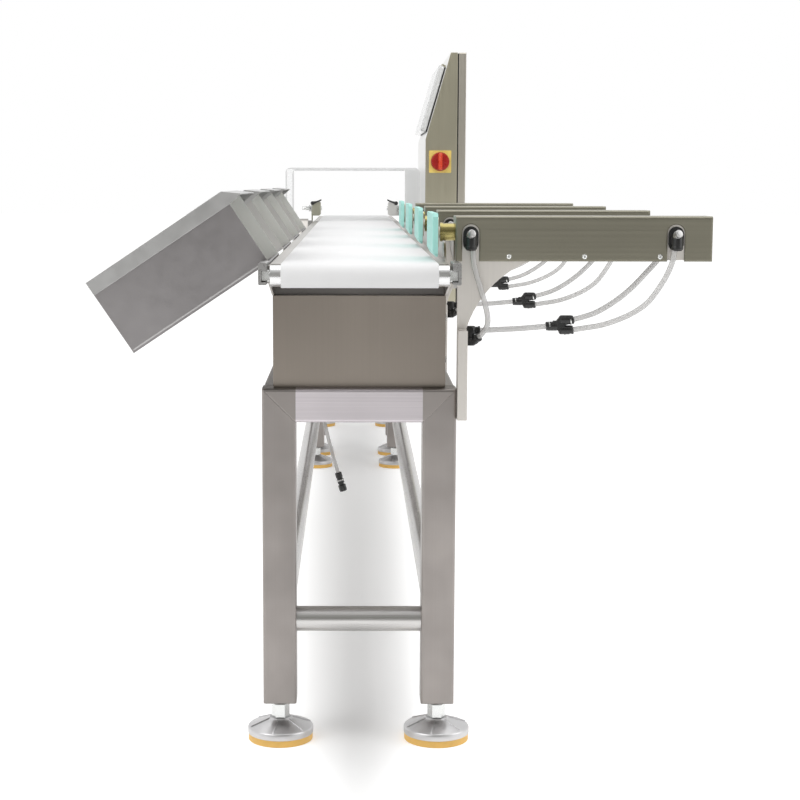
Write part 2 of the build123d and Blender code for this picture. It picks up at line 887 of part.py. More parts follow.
# Gussets: a plate that reaches from the rail into each cover, with a channel at its foot
gusset_left = half_frame
gusset_right = gusset_left + gusset_arm
with BuildPart() as gusset_plates:
    with BuildSketch(*[from_front(0, y + gusset_near, 0) for y in stations]):
        with BuildLine():
            Polyline(
                (gusset_right, gusset_curve_z),
                (gusset_right, gusset_foot_z),
                (gusset_left, gusset_foot_z),
                (gusset_left, cover_bottom - seat_gap),
                (front_head_x, cover_bottom - seat_gap),
                (front_head_x, slot_top + 7),
                (rear_head_x + head_length, slot_top + 7),
                (rear_head_x + head_length, cover_bottom + 2),
                (gusset_left + gusset_reach, cover_bottom + 2),
            )
            ThreePointArc(
                (gusset_left + gusset_reach, cover_bottom + 2),
                (gusset_left + 0.43 * gusset_reach, gusset_curve_z + 0.6 * (cover_bottom - gusset_curve_z)),
                (gusset_right, gusset_curve_z),
            )
        make_face()
    extrude(amount=-gusset_thickness)
    for port_x in (front_port_x, rear_port_x):
        with BuildSketch(*[from_front(port_x, y + gusset_near, axis_z - port_drop) for y in stations]):
            Circle(port_dia / 2 + seat_gap)
        extrude(amount=-gusset_thickness, mode=Mode.SUBTRACT)
    foot_mid = gusset_near - gusset_foot_depth / 2
    foot_planes = [from_above(gusset_left + gusset_arm / 2, y + foot_mid, gusset_foot_z) for y in stations]
    with BuildSketch(*foot_planes):
        Rectangle(gusset_arm, gusset_foot_depth)
        with Locations((foot_channel_wall, 0)):
            Rectangle(gusset_arm, gusset_foot_depth - 2 * foot_channel_wall, mode=Mode.SUBTRACT)
    extrude(amount=gusset_foot_height)
keep(gusset_plates, "gusset_plates")

# Port elbows: black push-in elbows with a round flow screw, two to a cylinder
elbow_z = axis_z - port_drop
hose_top = elbow_z - elbow_height / 2
with BuildPart() as port_elbows:
    for port_x in (front_port_x, rear_port_x):
        with BuildSketch(*[from_front(port_x, y + gusset_back, elbow_z) for y in stations]):
            Circle(port_dia / 2)
        extrude(amount=gusset_back - elbow_y)
        with BuildSketch(*[from_above(port_x, y + elbow_y, hose_top) for y in stations]):
            Circle(elbow_dia / 2)
        extrude(amount=elbow_height)
        with BuildSketch(*[from_front(port_x, y + elbow_y, elbow_z + flow_screw_rise) for y in stations]):
            Circle(port_dia / 2)
        extrude(amount=flow_screw_reach)
keep(port_elbows, "port_elbows")

# Hose routes as points counted from a station's own Y; the tubes bend at them in arcs
branch_port_x = rear_port_x - branch_port_inset
tee_end = tee_x + tee_length / 2
tee_start = tee_x - tee_length / 2
front_route = [
    (front_port_x + 3, elbow_y, hose_top),
    (front_port_x + 3, elbow_y, hose_top - 15),
    (front_port_x + 8, elbow_y, hose_top - 36),
    (front_port_x + 15, elbow_y, hose_top - 58),
    (front_port_x + 22, elbow_y + 2, hose_top - 81),
    (front_port_x + 27, elbow_y + 6, hose_top - 103),
    (front_port_x + 24, elbow_y + 14, hose_top - 119),
    (joint_x + 10, joint_y - 8, joint_z - 3),
]
rear_route = [
    (rear_port_x - 4, elbow_y, hose_top),
    (rear_port_x - 4, elbow_y, hose_top - 12),
    (rear_port_x - 14, elbow_y + 1, hose_top - 38),
    (rear_port_x - 26, elbow_y + 3, hose_top - 58),
    (rear_port_x - 39, elbow_y + 6, hose_top - 77),
    (rear_port_x - 57, elbow_y + 10, hose_top - 91),
    (rear_port_x - 78, elbow_y + 15, hose_top - 102),
    (rear_port_x - 104, elbow_y + 22, hose_top - 112),
    (rear_port_x - 130, elbow_y + 28, hose_top - 116.5),
    (tee_end, joint_y, tee_z - tee_pitch / 2),
]
branch_route = [
    (branch_port_x - 4, branch_y, hose_top - 5),
    (branch_port_x - 11, branch_y, hose_top - 15),
    (branch_port_x - 32, branch_y - 1, hose_top - 38),
    (branch_port_x - 49, branch_y - 3, hose_top - 56),
    (branch_port_x - 69, branch_y - 6, hose_top - 73),
    (branch_port_x - 94, branch_y - 9, hose_top - 89),
    (branch_port_x - 116, branch_y - 12, hose_top - 99),
    (tee_end, joint_y, tee_z + tee_pitch / 2),
]
trunk_route = [
    (tee_start, joint_y, tee_z - 2),
    (tee_start - 30, joint_y, tee_z - 5),
    (tee_start - 62, joint_y + 2, tee_z - 7),
    (joint_x + 12, joint_y + 5, joint_z + 7),
]
supply_route = [
    (-60, 150, housing_floor),
    (-60, 150, housing_floor - 26),
    (-57, 150, housing_floor - 56),
    (-50, 150, housing_floor - 89),
    (-41, 150, housing_floor - 123),
    (-32, 150, housing_floor - 153),
]


def tangent_radii(points):
    """The arc radius at each inner point, as large as its two runs allow."""
    radii = []
    for before, here, after in zip(points, points[1:], points[2:]):
        into, out = here - before, after - here
        half_turn = radians(into.get_angle(out) / 2)
        radii.append(0.45 * min(into.length, out.length) / tan(half_turn))
    return radii


def placed(route, y=0):
    """A route's points in the machine, for the station at y."""
    return [spot(px, py + y, pz) for px, py, pz in route]


def past_end(route, y=0, last=True):
    """A plane on a route's last or first point that looks away from the hose."""
    points = placed(route, y)
    end, inner = (points[-1], points[-2]) if last else (points[0], points[1])
    return Plane(origin=end, z_dir=end - inner)


def centre_length(points):
    """The length of the tube's centre line: the runs, less what each arc saves."""
    total = sum((after - before).length for before, after in zip(points, points[1:]))
    for radius, before, here, after in zip(tangent_radii(points), points, points[1:], points[2:]):
        turn = radians((here - before).get_angle(after - here))
        total -= radius * (2 * tan(turn / 2) - turn)
    return total


def hoses(routes, name, diameter=hose_dia):
    """Makes one plain tube along each route of a group, and prints its bends."""
    with BuildPart() as tubes:
        for points in routes:
            radii = tangent_radii(points)
            with BuildLine() as path:
                FilletPolyline(*points, radius=radii)
            with BuildSketch(Plane(origin=points[0], z_dir=points[1] - points[0])):
                Circle(diameter / 2)
            sweep(path=path.wires()[0])
    expected = sum(centre_length(points) for points in routes) * pi * (diameter / 2) ** 2
    print(name, "smallest bend", round(min(radii), 1), "volume", round(tubes.part.volume / expected, 4))
    keep(tubes, name)


hoses([placed(front_route, y) for y in stations], "front_hoses")
hoses([placed(rear_route, y) for y in stations], "rear_hoses")
hoses([placed(branch_route, y) for y in stations], "branch_hoses")
hoses([placed(trunk_route, y) for y in stations], "trunk_hoses")
hoses([placed(supply_route)], "supply_hose", supply_dia)

# Hose connectors: tees, the joints at the gussets, the ports below the rear heads and the
# coupling on the supply hose
with BuildPart() as hose_connectors:
    for y in stations:
        for rise in (-tee_pitch / 2, tee_pitch / 2):
            with BuildSketch(from_side(tee_x, y + joint_y, tee_z + rise)):
                Circle(tee_dia / 2)
            extrude(amount=tee_length / 2 - collar_length / 2)
        with BuildSketch(from_side(tee_start + collar_length / 2, y + joint_y, tee_z - 2)):
            Circle(tee_dia / 2)
        extrude(amount=tee_length / 2)
        with BuildSketch(from_above(joint_x, y + joint_y, joint_z - joint_drop)):
            Circle(tee_dia / 2)
        extrude(amount=joint_height)
        with BuildSketch(from_side(gusset_right, y + joint_y, joint_z - 8)):
            Circle(tee_dia / 2 - 2)
        extrude(amount=joint_x - gusset_right)
        with BuildSketch(past_end(front_route, y), past_end(trunk_route, y)):
            Circle(tee_dia / 2 - 1)
        extrude(amount=2 * collar_length)
        ends = [(rear_route, True), (branch_route, True), (trunk_route, False), (branch_route, False)]
        with BuildSketch(*[past_end(route, y, last) for route, last in ends]):
            Circle(tee_dia / 2 - 1)
        extrude(amount=collar_length)
        head_bottom = axis_z - head_height / 2
        port_plane = from_above(branch_port_x, y + branch_y, head_bottom - branch_port_height)
        with BuildSketch(port_plane):
            Circle(tee_dia / 2)
        extrude(amount=branch_port_height)
    coupling = past_end(supply_route)
    with BuildSketch(coupling):
        Circle(coupling_dia / 2)
    extrude(amount=coupling_length)
    with BuildSketch(coupling.offset(coupling_length)):
        Circle(coupling_tip_dia / 2)
    extrude(amount=coupling_tip_length, taper=4)
keep(hose_connectors, "hose_connectors")


def along_chute(run, rise):
    """A point of the chute's section: run down the floor, rise square to it."""
    return (
        chute_inlet_x - run * cos(slope) - rise * sin(slope),
        chute_floor_z - run * sin(slope) + rise * cos(slope),
    )


# Chutes: folded troughs, bolted to the left cheek by a flange
chute_fronts = [chute_front + i * station_pitch for i in range(station_count)]
with BuildPart() as chute_ducts:
    for front in chute_fronts:
        with BuildSketch(from_front(0, front, 0)):
            with BuildLine():
                Polyline(
                    along_chute(0, 0),
                    along_chute(chute_length, 0),
                    along_chute(chute_length, -chute_sheet),
                    along_chute(chute_sheet, -chute_sheet),
                    (chute_inlet_x, chute_floor_z - chute_flange),
                    (chute_inlet_x + chute_sheet, chute_floor_z - chute_flange),
                    (chute_inlet_x + chute_sheet, chute_floor_z - chute_sheet),
                    close=True,
                )
            make_face()
        extrude(amount=-chute_width)
        for y in (front, front + chute_width - chute_sheet):
            with BuildSketch(from_front(0, y, 0)):
                with BuildLine():
                    Polyline(
                        along_chute(0, 0),
                        along_chute(chute_length, 0),
                        along_chute(chute_length, chute_height),
                        along_chute(0, chute_height),
                        close=True,
                    )
                make_face()
            extrude(amount=-chute_sheet)
keep(chute_ducts, "chute_ducts")

# Chute hoods: the lids, with flanges over the troughs' sides and a lip at the inlet
hood_bottom = chute_height + hood_clearance
with BuildPart() as chute_hoods:
    for front in chute_fronts:
        outer_front = front - hood_clearance - chute_sheet
        outer_width = chute_width + 2 * (hood_clearance + chute_sheet)
        lip_x, lip_z = along_chute(0, hood_bottom)
        with BuildSketch(from_front(0, outer_front, 0)):
            with BuildLine():
                Polyline(
                    along_chute(chute_length, hood_bottom),
                    along_chute(chute_length, hood_height),
                    along_chute(0, hood_height),
                    (lip_x + hood_lip, lip_z - 3 + chute_sheet),
                    (lip_x + hood_lip, lip_z - 3),
                    (lip_x, lip_z),
                    close=True,
                )
            make_face()
        extrude(amount=-outer_width)
        for y in (outer_front, front + chute_width + hood_clearance):
            with BuildSketch(from_front(0, y, 0)):
                with BuildLine():
                    Polyline(
                        along_chute(chute_length, hood_height),
                        along_chute(0, hood_height),
                        (lip_x + hood_lip, lip_z - 3),
                        along_chute(0, chute_height - hood_overlap),
                        along_chute(chute_length, chute_height - hood_overlap),
                        close=True,
                    )
                make_face()
            extrude(amount=-chute_sheet)
keep(chute_hoods, "chute_hoods")

# Load cell: a bar with the double bore that lets it bend
cell_y = (weigh_front_y + weigh_rear_y) / 2
with BuildPart() as load_cell:
    with BuildSketch(from_side(-cell_width / 2, cell_y, cell_bottom + cell_height / 2)):
        RectangleRounded(cell_length, cell_height, 2)
        SlotCenterToCenter(cell_hole_pitch, cell_hole / 2, mode=Mode.SUBTRACT)
        with GridLocations(cell_hole_pitch, 0, 2, 1):
            Circle(cell_hole / 2, mode=Mode.SUBTRACT)
    extrude(amount=cell_width)
keep(load_cell, "load_cell")

# Pedestals: what carries the load cell, the two short belts and the draft shield
cell_front_end = cell_y - cell_length / 2
cell_back_end = cell_y + cell_length / 2
cell_top = cell_bottom + cell_height
bar_ys = [
    weigh_frame_front - shield_bar_gap - shield_bar_width,
    shield_y + shield_length - shield_bar_width,
]
infeed_bracket_ys = [
    infeed_front_y + infeed_bracket_inset,
    infeed_rear_y - infeed_bracket_inset - leg_bracket_length,
]
with BuildPart() as weigh_pedestals:
    with BuildSketch(from_above(0, cell_front_end + base_length / 2, rail_top)):
        Rectangle(frame_width, base_length)
    extrude(amount=base_plate)
    with BuildSketch(from_above(0, cell_front_end + cell_pad / 2, rail_top + base_plate)):
        Rectangle(cell_width + 20, cell_pad)
    extrude(amount=cell_bottom - rail_top - base_plate)
    with BuildSketch(from_above(0, cell_back_end - cell_pad / 2, cell_top)):
        Rectangle(cell_width, cell_pad)
    extrude(amount=cell_pad_height)
    cradle_z = cell_top + cell_pad_height
    cradle_half = cheek_outside + leg_bracket_sheet
    with BuildSketch(from_front(0, cell_back_end - bracket_length, cradle_z)):
        with BuildLine():
            Polyline(
                (-cradle_half, bracket_top - cradle_z),
                (-cradle_half, 0),
                (cradle_half, 0),
                (cradle_half, bracket_top - cradle_z),
                (cheek_outside, bracket_top - cradle_z),
                (cheek_outside, bracket_plate),
                (-cheek_outside, bracket_plate),
                (-cheek_outside, bracket_top - cradle_z),
                close=True,
            )
        make_face()
    extrude(amount=-bracket_length)
    for y in infeed_bracket_ys:
        with BuildSketch(from_front(0, y, rail_top)):
            with BuildLine():
                Polyline(
                    (cheek_outside, bracket_top - rail_top),
                    (cheek_outside, leg_bracket_sheet),
                    (half_frame - tube, leg_bracket_sheet),
                    (half_frame - tube, 0),
                    (cheek_outside + leg_bracket_sheet, 0),
                    (cheek_outside + leg_bracket_sheet, bracket_top - rail_top),
                    close=True,
                )
            make_face()
            mirror(about=Plane.YZ)
        extrude(amount=-leg_bracket_length)
    bar_inner = half_frame - tube
    for end in (shield_left + shield_sheet, shield_right - shield_sheet):
        near = bar_inner if end > 0 else -bar_inner
        bar_planes = [from_above((near + end) / 2, y + shield_bar_width / 2, rail_top) for y in bar_ys]
        with BuildSketch(*bar_planes):
            Rectangle(abs(end - near), shield_bar_width)
        extrude(amount=shield_bar_height)
keep(weigh_pedestals, "weigh_pedestals")

# Draft shield: one clear sheet bent over the weighing belt, with a plate on its right edge
shield_mid = (shield_left + shield_right) / 2
with BuildPart() as draft_shield:
    with BuildSketch(from_front(shield_mid, shield_y, (shield_top + rail_top) / 2)):
        Rectangle(shield_right - shield_left, shield_top - rail_top)
        fillet(vertices().group_by(Axis.Y)[-1], shield_corner)
        with Locations((0, -shield_sheet / 2)):
            Rectangle(
                shield_right - shield_left - 2 * shield_sheet,
                shield_top - rail_top - shield_sheet,
                mode=Mode.SUBTRACT,
            )
    extrude(amount=-shield_length)
    plate_mid = shield_right - shield_sheet - shield_plate_width / 2 + 1
    plate_height_mid = (shield_top - shield_sheet + rail_top + shield_bar_height) / 2 + 1
    with BuildSketch(from_front(plate_mid, shield_y, plate_height_mid)):
        Rectangle(shield_plate_width, shield_top - shield_sheet - rail_top - shield_bar_height)
    extrude(amount=-shield_sheet)
keep(draft_shield, "draft_shield")

# Clamp blocks on posts, each with a bore for a photo eye
block_y = weigh_front_y + 4
block_spots = {-1: -cheek_outside + left_block_reach, 1: cheek_outside - right_block_reach}
with BuildPart() as clamp_blocks:
    for side, edge in block_spots.items():
        mid = edge - block_width / 2
        with BuildSketch(from_front(mid, block_y - block_depth / 2, block_bottom + block_height / 2)):
            Rectangle(block_width, block_height)
            chamfer(vertices(), block_chamfer / 2)
        extrude(amount=-block_depth)
        with BuildSketch(from_side(mid - block_width / 2, block_y, eye_z)):
            Circle(eye_dia / 2 + seat_gap)
        extrude(amount=block_width, mode=Mode.SUBTRACT)
        post_x = side * (cheek_outside + post_thickness / 2)
        post_bottom = cheek_top - short_cheek_drop + post_foot
        with BuildSketch(from_above(post_x, block_y + block_depth / 2 + post_set_back, post_bottom)):
            Rectangle(post_thickness, block_depth)
        extrude(amount=block_bottom + post_overlap - post_bottom)
        with BuildSketch(
            from_above((post_x + mid) / 2, block_y + block_depth / 2 + post_thickness / 2, block_bottom)
        ):
            Rectangle(abs(post_x - mid) + post_thickness, post_thickness)
        extrude(amount=post_overlap)
keep(clamp_blocks, "clamp_blocks")

# Photo eyes: a threaded barrel in each block
with BuildPart() as photo_eyes:
    for side, edge in block_spots.items():
        inner_end = edge - block_width / 2 - side * (block_width / 2 + eye_nose)
        start = min(inner_end, inner_end + side * eye_length)
        with BuildSketch(from_side(start, block_y, eye_z)):
            Circle(eye_dia / 2)
        extrude(amount=eye_length)
keep(photo_eyes, "photo_eyes")

# Clamp levers: a hub in front of each block with an arm that points inwards
for side, lever_name in ((-1, "clamp_lever_left"), (1, "clamp_lever_right")):
    edge = block_spots[side]
    hub_x = edge - block_width / 2 + side * (block_width / 2 - lever_inset)
    hub_z = block_bottom + block_height - lever_drop
    hub_front = block_y - block_depth / 2 - lever_gap
    with BuildPart() as lever:
        with BuildSketch(from_front(hub_x, hub_front, hub_z)):
            Circle(lever_hub_dia / 2)
        extrude(amount=lever_hub_height)
        with BuildSketch(from_front(hub_x, hub_front - lever_hub_height + lever_thickness, hub_z)):
            with BuildLine():
                arm_end = (-side * lever_length, lever_rise)
                Polyline(
                    (0, -lever_thickness / 2),
                    (arm_end[0], arm_end[1] - lever_thickness / 3),
                    (arm_end[0], arm_end[1] + lever_thickness / 3),
                    (0, lever_thickness / 2),
                    close=True,
                )
            make_face()
        extrude(amount=lever_thickness)
    keep(lever, lever_name)

# Cabinet shell: a folded case with a sloped front, open at the back, with hinge ears
face_length = hypot(slope_depth, slope_height)
face_up = (slope_depth / face_length, slope_height / face_length)
face_out = (-face_up[1], face_up[0])
cabinet_mid_y = cabinet_y + cabinet_width / 2
lid_height = face_length - lid_bottom_margin - lid_top_margin
lid_centre = lid_bottom_margin + lid_height / 2
window_width = lid_width - 2 * window_side_margin
window_height = lid_height - 2 * window_end_margin


def on_slope(along, out):
    """A plane square to the sloped face, its X to the front and its Y up the slope."""
    x = cabinet_front + face_up[0] * along + face_out[0] * out
    z = slope_start + face_up[1] * along + face_out[1] * out
    return Plane(
        origin=spot(x, cabinet_mid_y, z),
        x_dir=(0, -1, 0),
        z_dir=(face_out[0], 0, face_out[1]),
    )


def across_slope(along, out, y):
    """A plane seen from the front whose origin lies on the sloped face."""
    x = cabinet_front + face_up[0] * along + face_out[0] * out
    z = slope_start + face_up[1] * along + face_out[1] * out
    return from_front(x, y, z)


cabinet_outline = [
    (cabinet_front, cabinet_bottom),
    (cabinet_front, slope_start),
    (cabinet_front + slope_depth, cabinet_top),
    (cabinet_back, cabinet_top),
    (cabinet_back, cabinet_bottom),
]
door_hinge_x = cabinet_back + gasket_thickness + door_depth / 2
door_hinge_y = cabinet_y + cabinet_width + door_barrel_dia / 2 + 2
door_barrel_zs = [cabinet_bottom + door_hinge_inset, cabinet_top - door_hinge_inset - door_barrel_length]
lid_axis_along = lid_centre + lid_height / 2 + lid_barrel_dia / 2 + 1
lid_axis_out = gasket_thickness + lid_barrel_dia / 2
lid_barrel_ys = [cabinet_mid_y - lid_width / 4, cabinet_mid_y + lid_width / 4]
bracket_ys = [cabinet_y + bracket_inset, cabinet_y + cabinet_width - bracket_inset]
with BuildPart() as cabinet_shell:
    with BuildSketch(from_front(0, cabinet_y, 0)):
        with BuildLine():
            Polyline(*cabinet_outline, close=True)
        make_face()
    extrude(amount=-cabinet_width)
    with BuildSketch(from_front(0, cabinet_y + cabinet_sheet, 0)):
        with BuildLine():
            Polyline(*cabinet_outline, close=True)
        make_face()
        offset(amount=-cabinet_sheet)
    extrude(amount=2 * cabinet_sheet - cabinet_width, mode=Mode.SUBTRACT)
    with BuildSketch(from_side(cabinet_back, cabinet_mid_y, (cabinet_top + cabinet_bottom) / 2)):
        Rectangle(cabinet_width - 2 * cabinet_rim, cabinet_top - cabinet_bottom - 2 * cabinet_rim)
    extrude(amount=-cabinet_sheet, mode=Mode.SUBTRACT)
    with BuildSketch(on_slope(lid_centre, 0)):
        Rectangle(window_width, window_height)
    extrude(amount=-3 * cabinet_sheet, mode=Mode.SUBTRACT)
    with BuildSketch(from_front(switch_x, cabinet_y, switch_z)):
        Circle(spindle_dia / 2 + 1)
    extrude(amount=-cabinet_sheet, mode=Mode.SUBTRACT)
    for z in door_barrel_zs:
        for ear_z in (z - door_ear_length - lever_gap, z + door_barrel_length + lever_gap):
            with BuildSketch(from_above(door_hinge_x, door_hinge_y, ear_z)):
                Circle(door_barrel_dia / 2)
                ear_reach = door_hinge_x - cabinet_back + 8
                with Locations((-ear_reach / 2, -door_barrel_dia / 2 + 1.5)):
                    Rectangle(ear_reach, 3)
                with Locations((-ear_reach + 2, -door_barrel_dia / 2)):
                    Rectangle(4, 6)
            extrude(amount=door_ear_length)
        with BuildSketch(from_above(door_hinge_x, door_hinge_y, z - 2)):
            Circle(door_pin_dia / 2)
        extrude(amount=door_barrel_length + 4)
    for y in lid_barrel_ys:
        front_ear_y = y - lid_barrel_length / 2 - lid_ear_length - lever_gap
        for ear_y in (front_ear_y, y + lid_barrel_length / 2 + lever_gap):
            with BuildSketch(across_slope(lid_axis_along, lid_axis_out, ear_y)):
                Circle(lid_barrel_dia / 2)
            extrude(amount=-lid_ear_length)
            with BuildSketch(on_slope(lid_axis_along, 0)):
                with Locations((cabinet_mid_y - ear_y - lid_ear_length / 2, 0)):
                    Rectangle(lid_ear_length, lid_barrel_dia - 2)
            extrude(amount=lid_axis_out)
        with BuildSketch(across_slope(lid_axis_along, lid_axis_out, y - lid_barrel_length / 2 - 2)):
            Circle(lid_pin_dia / 2)
        extrude(amount=-lid_barrel_length - 4)
keep(cabinet_shell, "cabinet_shell")

# Cabinet brackets: square tubes from the weighing frame to the cabinet
with BuildPart() as cabinet_brackets:
    bracket_z = rail_top - tube / 2
    with BuildSketch(*[from_side(half_frame, y, bracket_z) for y in bracket_ys]):
        Rectangle(bracket_tube, bracket_tube)
        Rectangle(bracket_tube - 2 * tube_wall, bracket_tube - 2 * tube_wall, mode=Mode.SUBTRACT)
    extrude(amount=cabinet_front - half_frame)
keep(cabinet_brackets, "cabinet_brackets")

# Cabinet door: a shallow tray with hinge barrels
with BuildPart() as cabinet_door:
    door_mid_z = (cabinet_top + cabinet_bottom) / 2
    door_tall = cabinet_top - cabinet_bottom
    door_front = cabinet_back + gasket_thickness
    with BuildSketch(from_side(door_front, cabinet_mid_y, door_mid_z)):
        RectangleRounded(cabinet_width, door_tall, 4)
    extrude(amount=door_depth)
    with BuildSketch(from_side(door_front, cabinet_mid_y, door_mid_z)):
        Rectangle(cabinet_width - 2 * door_sheet, door_tall - 2 * door_sheet)
    extrude(amount=door_depth - door_sheet, mode=Mode.SUBTRACT)
    for z in door_barrel_zs:
        with BuildSketch(from_above(door_hinge_x, door_hinge_y, z)):
            Circle(door_barrel_dia / 2)
            with Locations((0, -door_barrel_dia / 2 - 1)):
                Rectangle(5, door_barrel_dia - 6)
            Circle(door_pin_dia / 2 + running_gap, mode=Mode.SUBTRACT)
        extrude(amount=door_barrel_length)
keep(cabinet_door, "cabinet_door")

# Gaskets: a rubber frame for the door and one for the screen's lid
with BuildPart() as cabinet_gaskets:
    with BuildSketch(from_side(cabinet_back, cabinet_mid_y, door_mid_z)):
        Rectangle(cabinet_width - 6, door_tall - 6)
        Rectangle(cabinet_width - 6 - 2 * gasket_width, door_tall - 6 - 2 * gasket_width, mode=Mode.SUBTRACT)
    extrude(amount=gasket_thickness - lever_gap)
    with BuildSketch(on_slope(lid_centre, 0)):
        RectangleRounded(lid_width - lid_gasket_margin, lid_height - lid_gasket_margin, 8)
        Rectangle(lid_width - 2 * gasket_width, lid_height - 2 * gasket_width, mode=Mode.SUBTRACT)
    extrude(amount=gasket_thickness - lever_gap)
keep(cabinet_gaskets, "cabinet_gaskets")

# Screen: a bezel on the slope and its case behind the window
with BuildPart() as hmi_screen:
    with BuildSketch(on_slope(lid_centre, 0)):
        RectangleRounded(window_width + 2 * bezel_margin, window_height + 2 * bezel_margin, 5)
    extrude(amount=bezel_thickness)
    with BuildSketch(on_slope(lid_centre, 0)):
        Rectangle(window_width - 2, window_height - 2)
    extrude(amount=-screen_depth)
keep(hmi_screen, "hmi_screen")

# Screen cover: a clear lid over the screen, hinged at its top edge
with BuildPart() as screen_cover:
    with BuildSketch(on_slope(lid_centre, gasket_thickness)):
        RectangleRounded(lid_width, lid_height, 10)
    extrude(amount=lid_depth)
    fillet(faces().sort_by(Axis.X)[0].edges(), 4)
    with BuildSketch(on_slope(lid_centre, gasket_thickness)):
        RectangleRounded(lid_width - 2 * lid_sheet, lid_height - 2 * lid_sheet, 10 - lid_sheet)
    extrude(amount=lid_depth - lid_sheet, mode=Mode.SUBTRACT)
    for y in lid_barrel_ys:
        with BuildSketch(across_slope(lid_axis_along, lid_axis_out, y - lid_barrel_length / 2)):
            Circle(lid_barrel_dia / 2)
        extrude(amount=-lid_barrel_length)
        with BuildSketch(on_slope(lid_axis_along - lid_barrel_dia / 2, gasket_thickness)):
            with Locations((cabinet_mid_y - y, 0)):
                Rectangle(lid_barrel_length, 4)
        extrude(amount=lid_barrel_dia / 2)
        with BuildSketch(across_slope(lid_axis_along, lid_axis_out, y - lid_barrel_length / 2)):
            Circle(lid_pin_dia / 2 + running_gap)
        extrude(amount=-lid_barrel_length, mode=Mode.SUBTRACT)
keep(screen_cover, "screen_cover")

# Main switch: a square plate, and a dial with a raised handle on a spindle
with BuildPart() as switch_plate:
    with BuildSketch(from_front(switch_x, cabinet_y, switch_z)):
        RectangleRounded(switch_plate_size, switch_plate_size, 3)
        Circle(spindle_dia / 2 + 1, mode=Mode.SUBTRACT)
    extrude(amount=switch_plate_thickness)
keep(switch_plate, "switch_plate")

dial_y = cabinet_y - switch_plate_thickness - lever_gap
with BuildPart() as switch_knob:
    with BuildSketch(from_front(switch_x, dial_y, switch_z)):
        Circle(dial_dia / 2)
    extrude(amount=dial_height, taper=4)
    with BuildSketch(from_front(switch_x, dial_y - dial_height, switch_z)):
        SlotOverall(dial_dia - 6, handle_width, rotation=90)
    extrude(amount=handle_height, taper=3)
    with BuildSketch(from_front(switch_x, dial_y, switch_z)):
        Circle(spindle_dia / 2)
    extrude(amount=-spindle_depth)
keep(switch_knob, "switch_knob")

# Mounting panel: a plate on stand-offs in the cabinet, with the controls on it
with BuildPart() as mounting_panel:
    panel_x = cabinet_front + cabinet_sheet + panel_stand_off
    panel_tall = slope_start - cabinet_bottom - 2 * panel_margin
    panel_wide = cabinet_width - 2 * panel_margin
    panel_z = cabinet_bottom + panel_margin + panel_tall / 2
    with BuildSketch(from_side(panel_x, cabinet_mid_y, panel_z)):
        Rectangle(panel_wide, panel_tall)
    extrude(amount=panel_sheet)
    with BuildSketch(from_side(cabinet_front + cabinet_sheet, cabinet_mid_y, panel_z)):
        with GridLocations(panel_wide - 2 * panel_post_inset, panel_tall - 2 * panel_post_inset, 2, 2):
            Circle(panel_post_dia / 2)
    extrude(amount=panel_stand_off)
    for width, height, deep, across, up in panel_devices:
        with BuildSketch(from_side(panel_x + panel_sheet, cabinet_mid_y + across, panel_z + up)):
            RectangleRounded(width, height, 3)
        extrude(amount=deep)
keep(mounting_panel, "mounting_panel")
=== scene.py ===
"""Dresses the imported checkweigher: its studio, its finishes and the pieces finer than its solids.

Lengths are millimetres counted as in the part: X from the belts' centre line to the pushers, Y from
the front of the sorter's frame towards the infeed, Z from the floor.
"""

import json
import logging
import math
from collections.abc import Callable
from dataclasses import dataclass
from enum import Enum

import bmesh
import bpy
from mathutils import Matrix, Quaternion, Vector

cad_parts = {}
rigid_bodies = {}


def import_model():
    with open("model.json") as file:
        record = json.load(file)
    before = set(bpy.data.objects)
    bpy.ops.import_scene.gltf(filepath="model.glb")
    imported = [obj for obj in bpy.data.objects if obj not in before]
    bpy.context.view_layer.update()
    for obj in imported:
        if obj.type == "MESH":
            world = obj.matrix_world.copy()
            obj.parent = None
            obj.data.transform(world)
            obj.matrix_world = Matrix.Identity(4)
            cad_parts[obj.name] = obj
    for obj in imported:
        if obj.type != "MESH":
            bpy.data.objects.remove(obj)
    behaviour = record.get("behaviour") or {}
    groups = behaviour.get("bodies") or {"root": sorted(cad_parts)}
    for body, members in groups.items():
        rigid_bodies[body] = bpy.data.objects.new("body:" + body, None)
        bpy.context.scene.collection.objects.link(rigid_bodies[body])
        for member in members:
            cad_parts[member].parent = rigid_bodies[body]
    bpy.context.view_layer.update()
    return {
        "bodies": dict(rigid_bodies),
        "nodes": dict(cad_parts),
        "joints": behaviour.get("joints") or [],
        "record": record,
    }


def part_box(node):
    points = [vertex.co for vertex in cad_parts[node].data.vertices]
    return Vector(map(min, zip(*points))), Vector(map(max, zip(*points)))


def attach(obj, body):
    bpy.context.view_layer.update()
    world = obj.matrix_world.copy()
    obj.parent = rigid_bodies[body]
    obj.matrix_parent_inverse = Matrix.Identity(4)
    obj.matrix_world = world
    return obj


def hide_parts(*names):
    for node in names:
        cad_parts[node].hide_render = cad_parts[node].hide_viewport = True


Point = tuple[float, float, float]
Flat = tuple[float, float]
Colour = tuple[float, float, float]
Socket = bpy.types.NodeSocket

log = logging.getLogger("checkweigher")
MM = 0.001
# From one pusher station to the next, from the centre line to a leg, and half a sheet's wall.
STATION_PITCH = 515.0 * MM
LEG_INSIDE = 94.0 * MM
HALF_SHEET = 0.75 * MM
STATION_GAPS = 3
# How much of the ducts' painted light the walls between two chutes get.
PAINTED_LIGHT_BESIDE_CHUTE = 0.4
# How far a surface has to be turned, as a part of its normal, to count as facing a side.
TOWARDS_BELTS = -0.3
INTO_DUCT = -0.01
UPRIGHT = 0.5
# How many finer layers the noise of a grain, a cloud and a clear plastic has.
FINE_DETAIL = 4.0
CLOUD_DETAIL = 2.0
CLEAR_DETAIL = 3.0
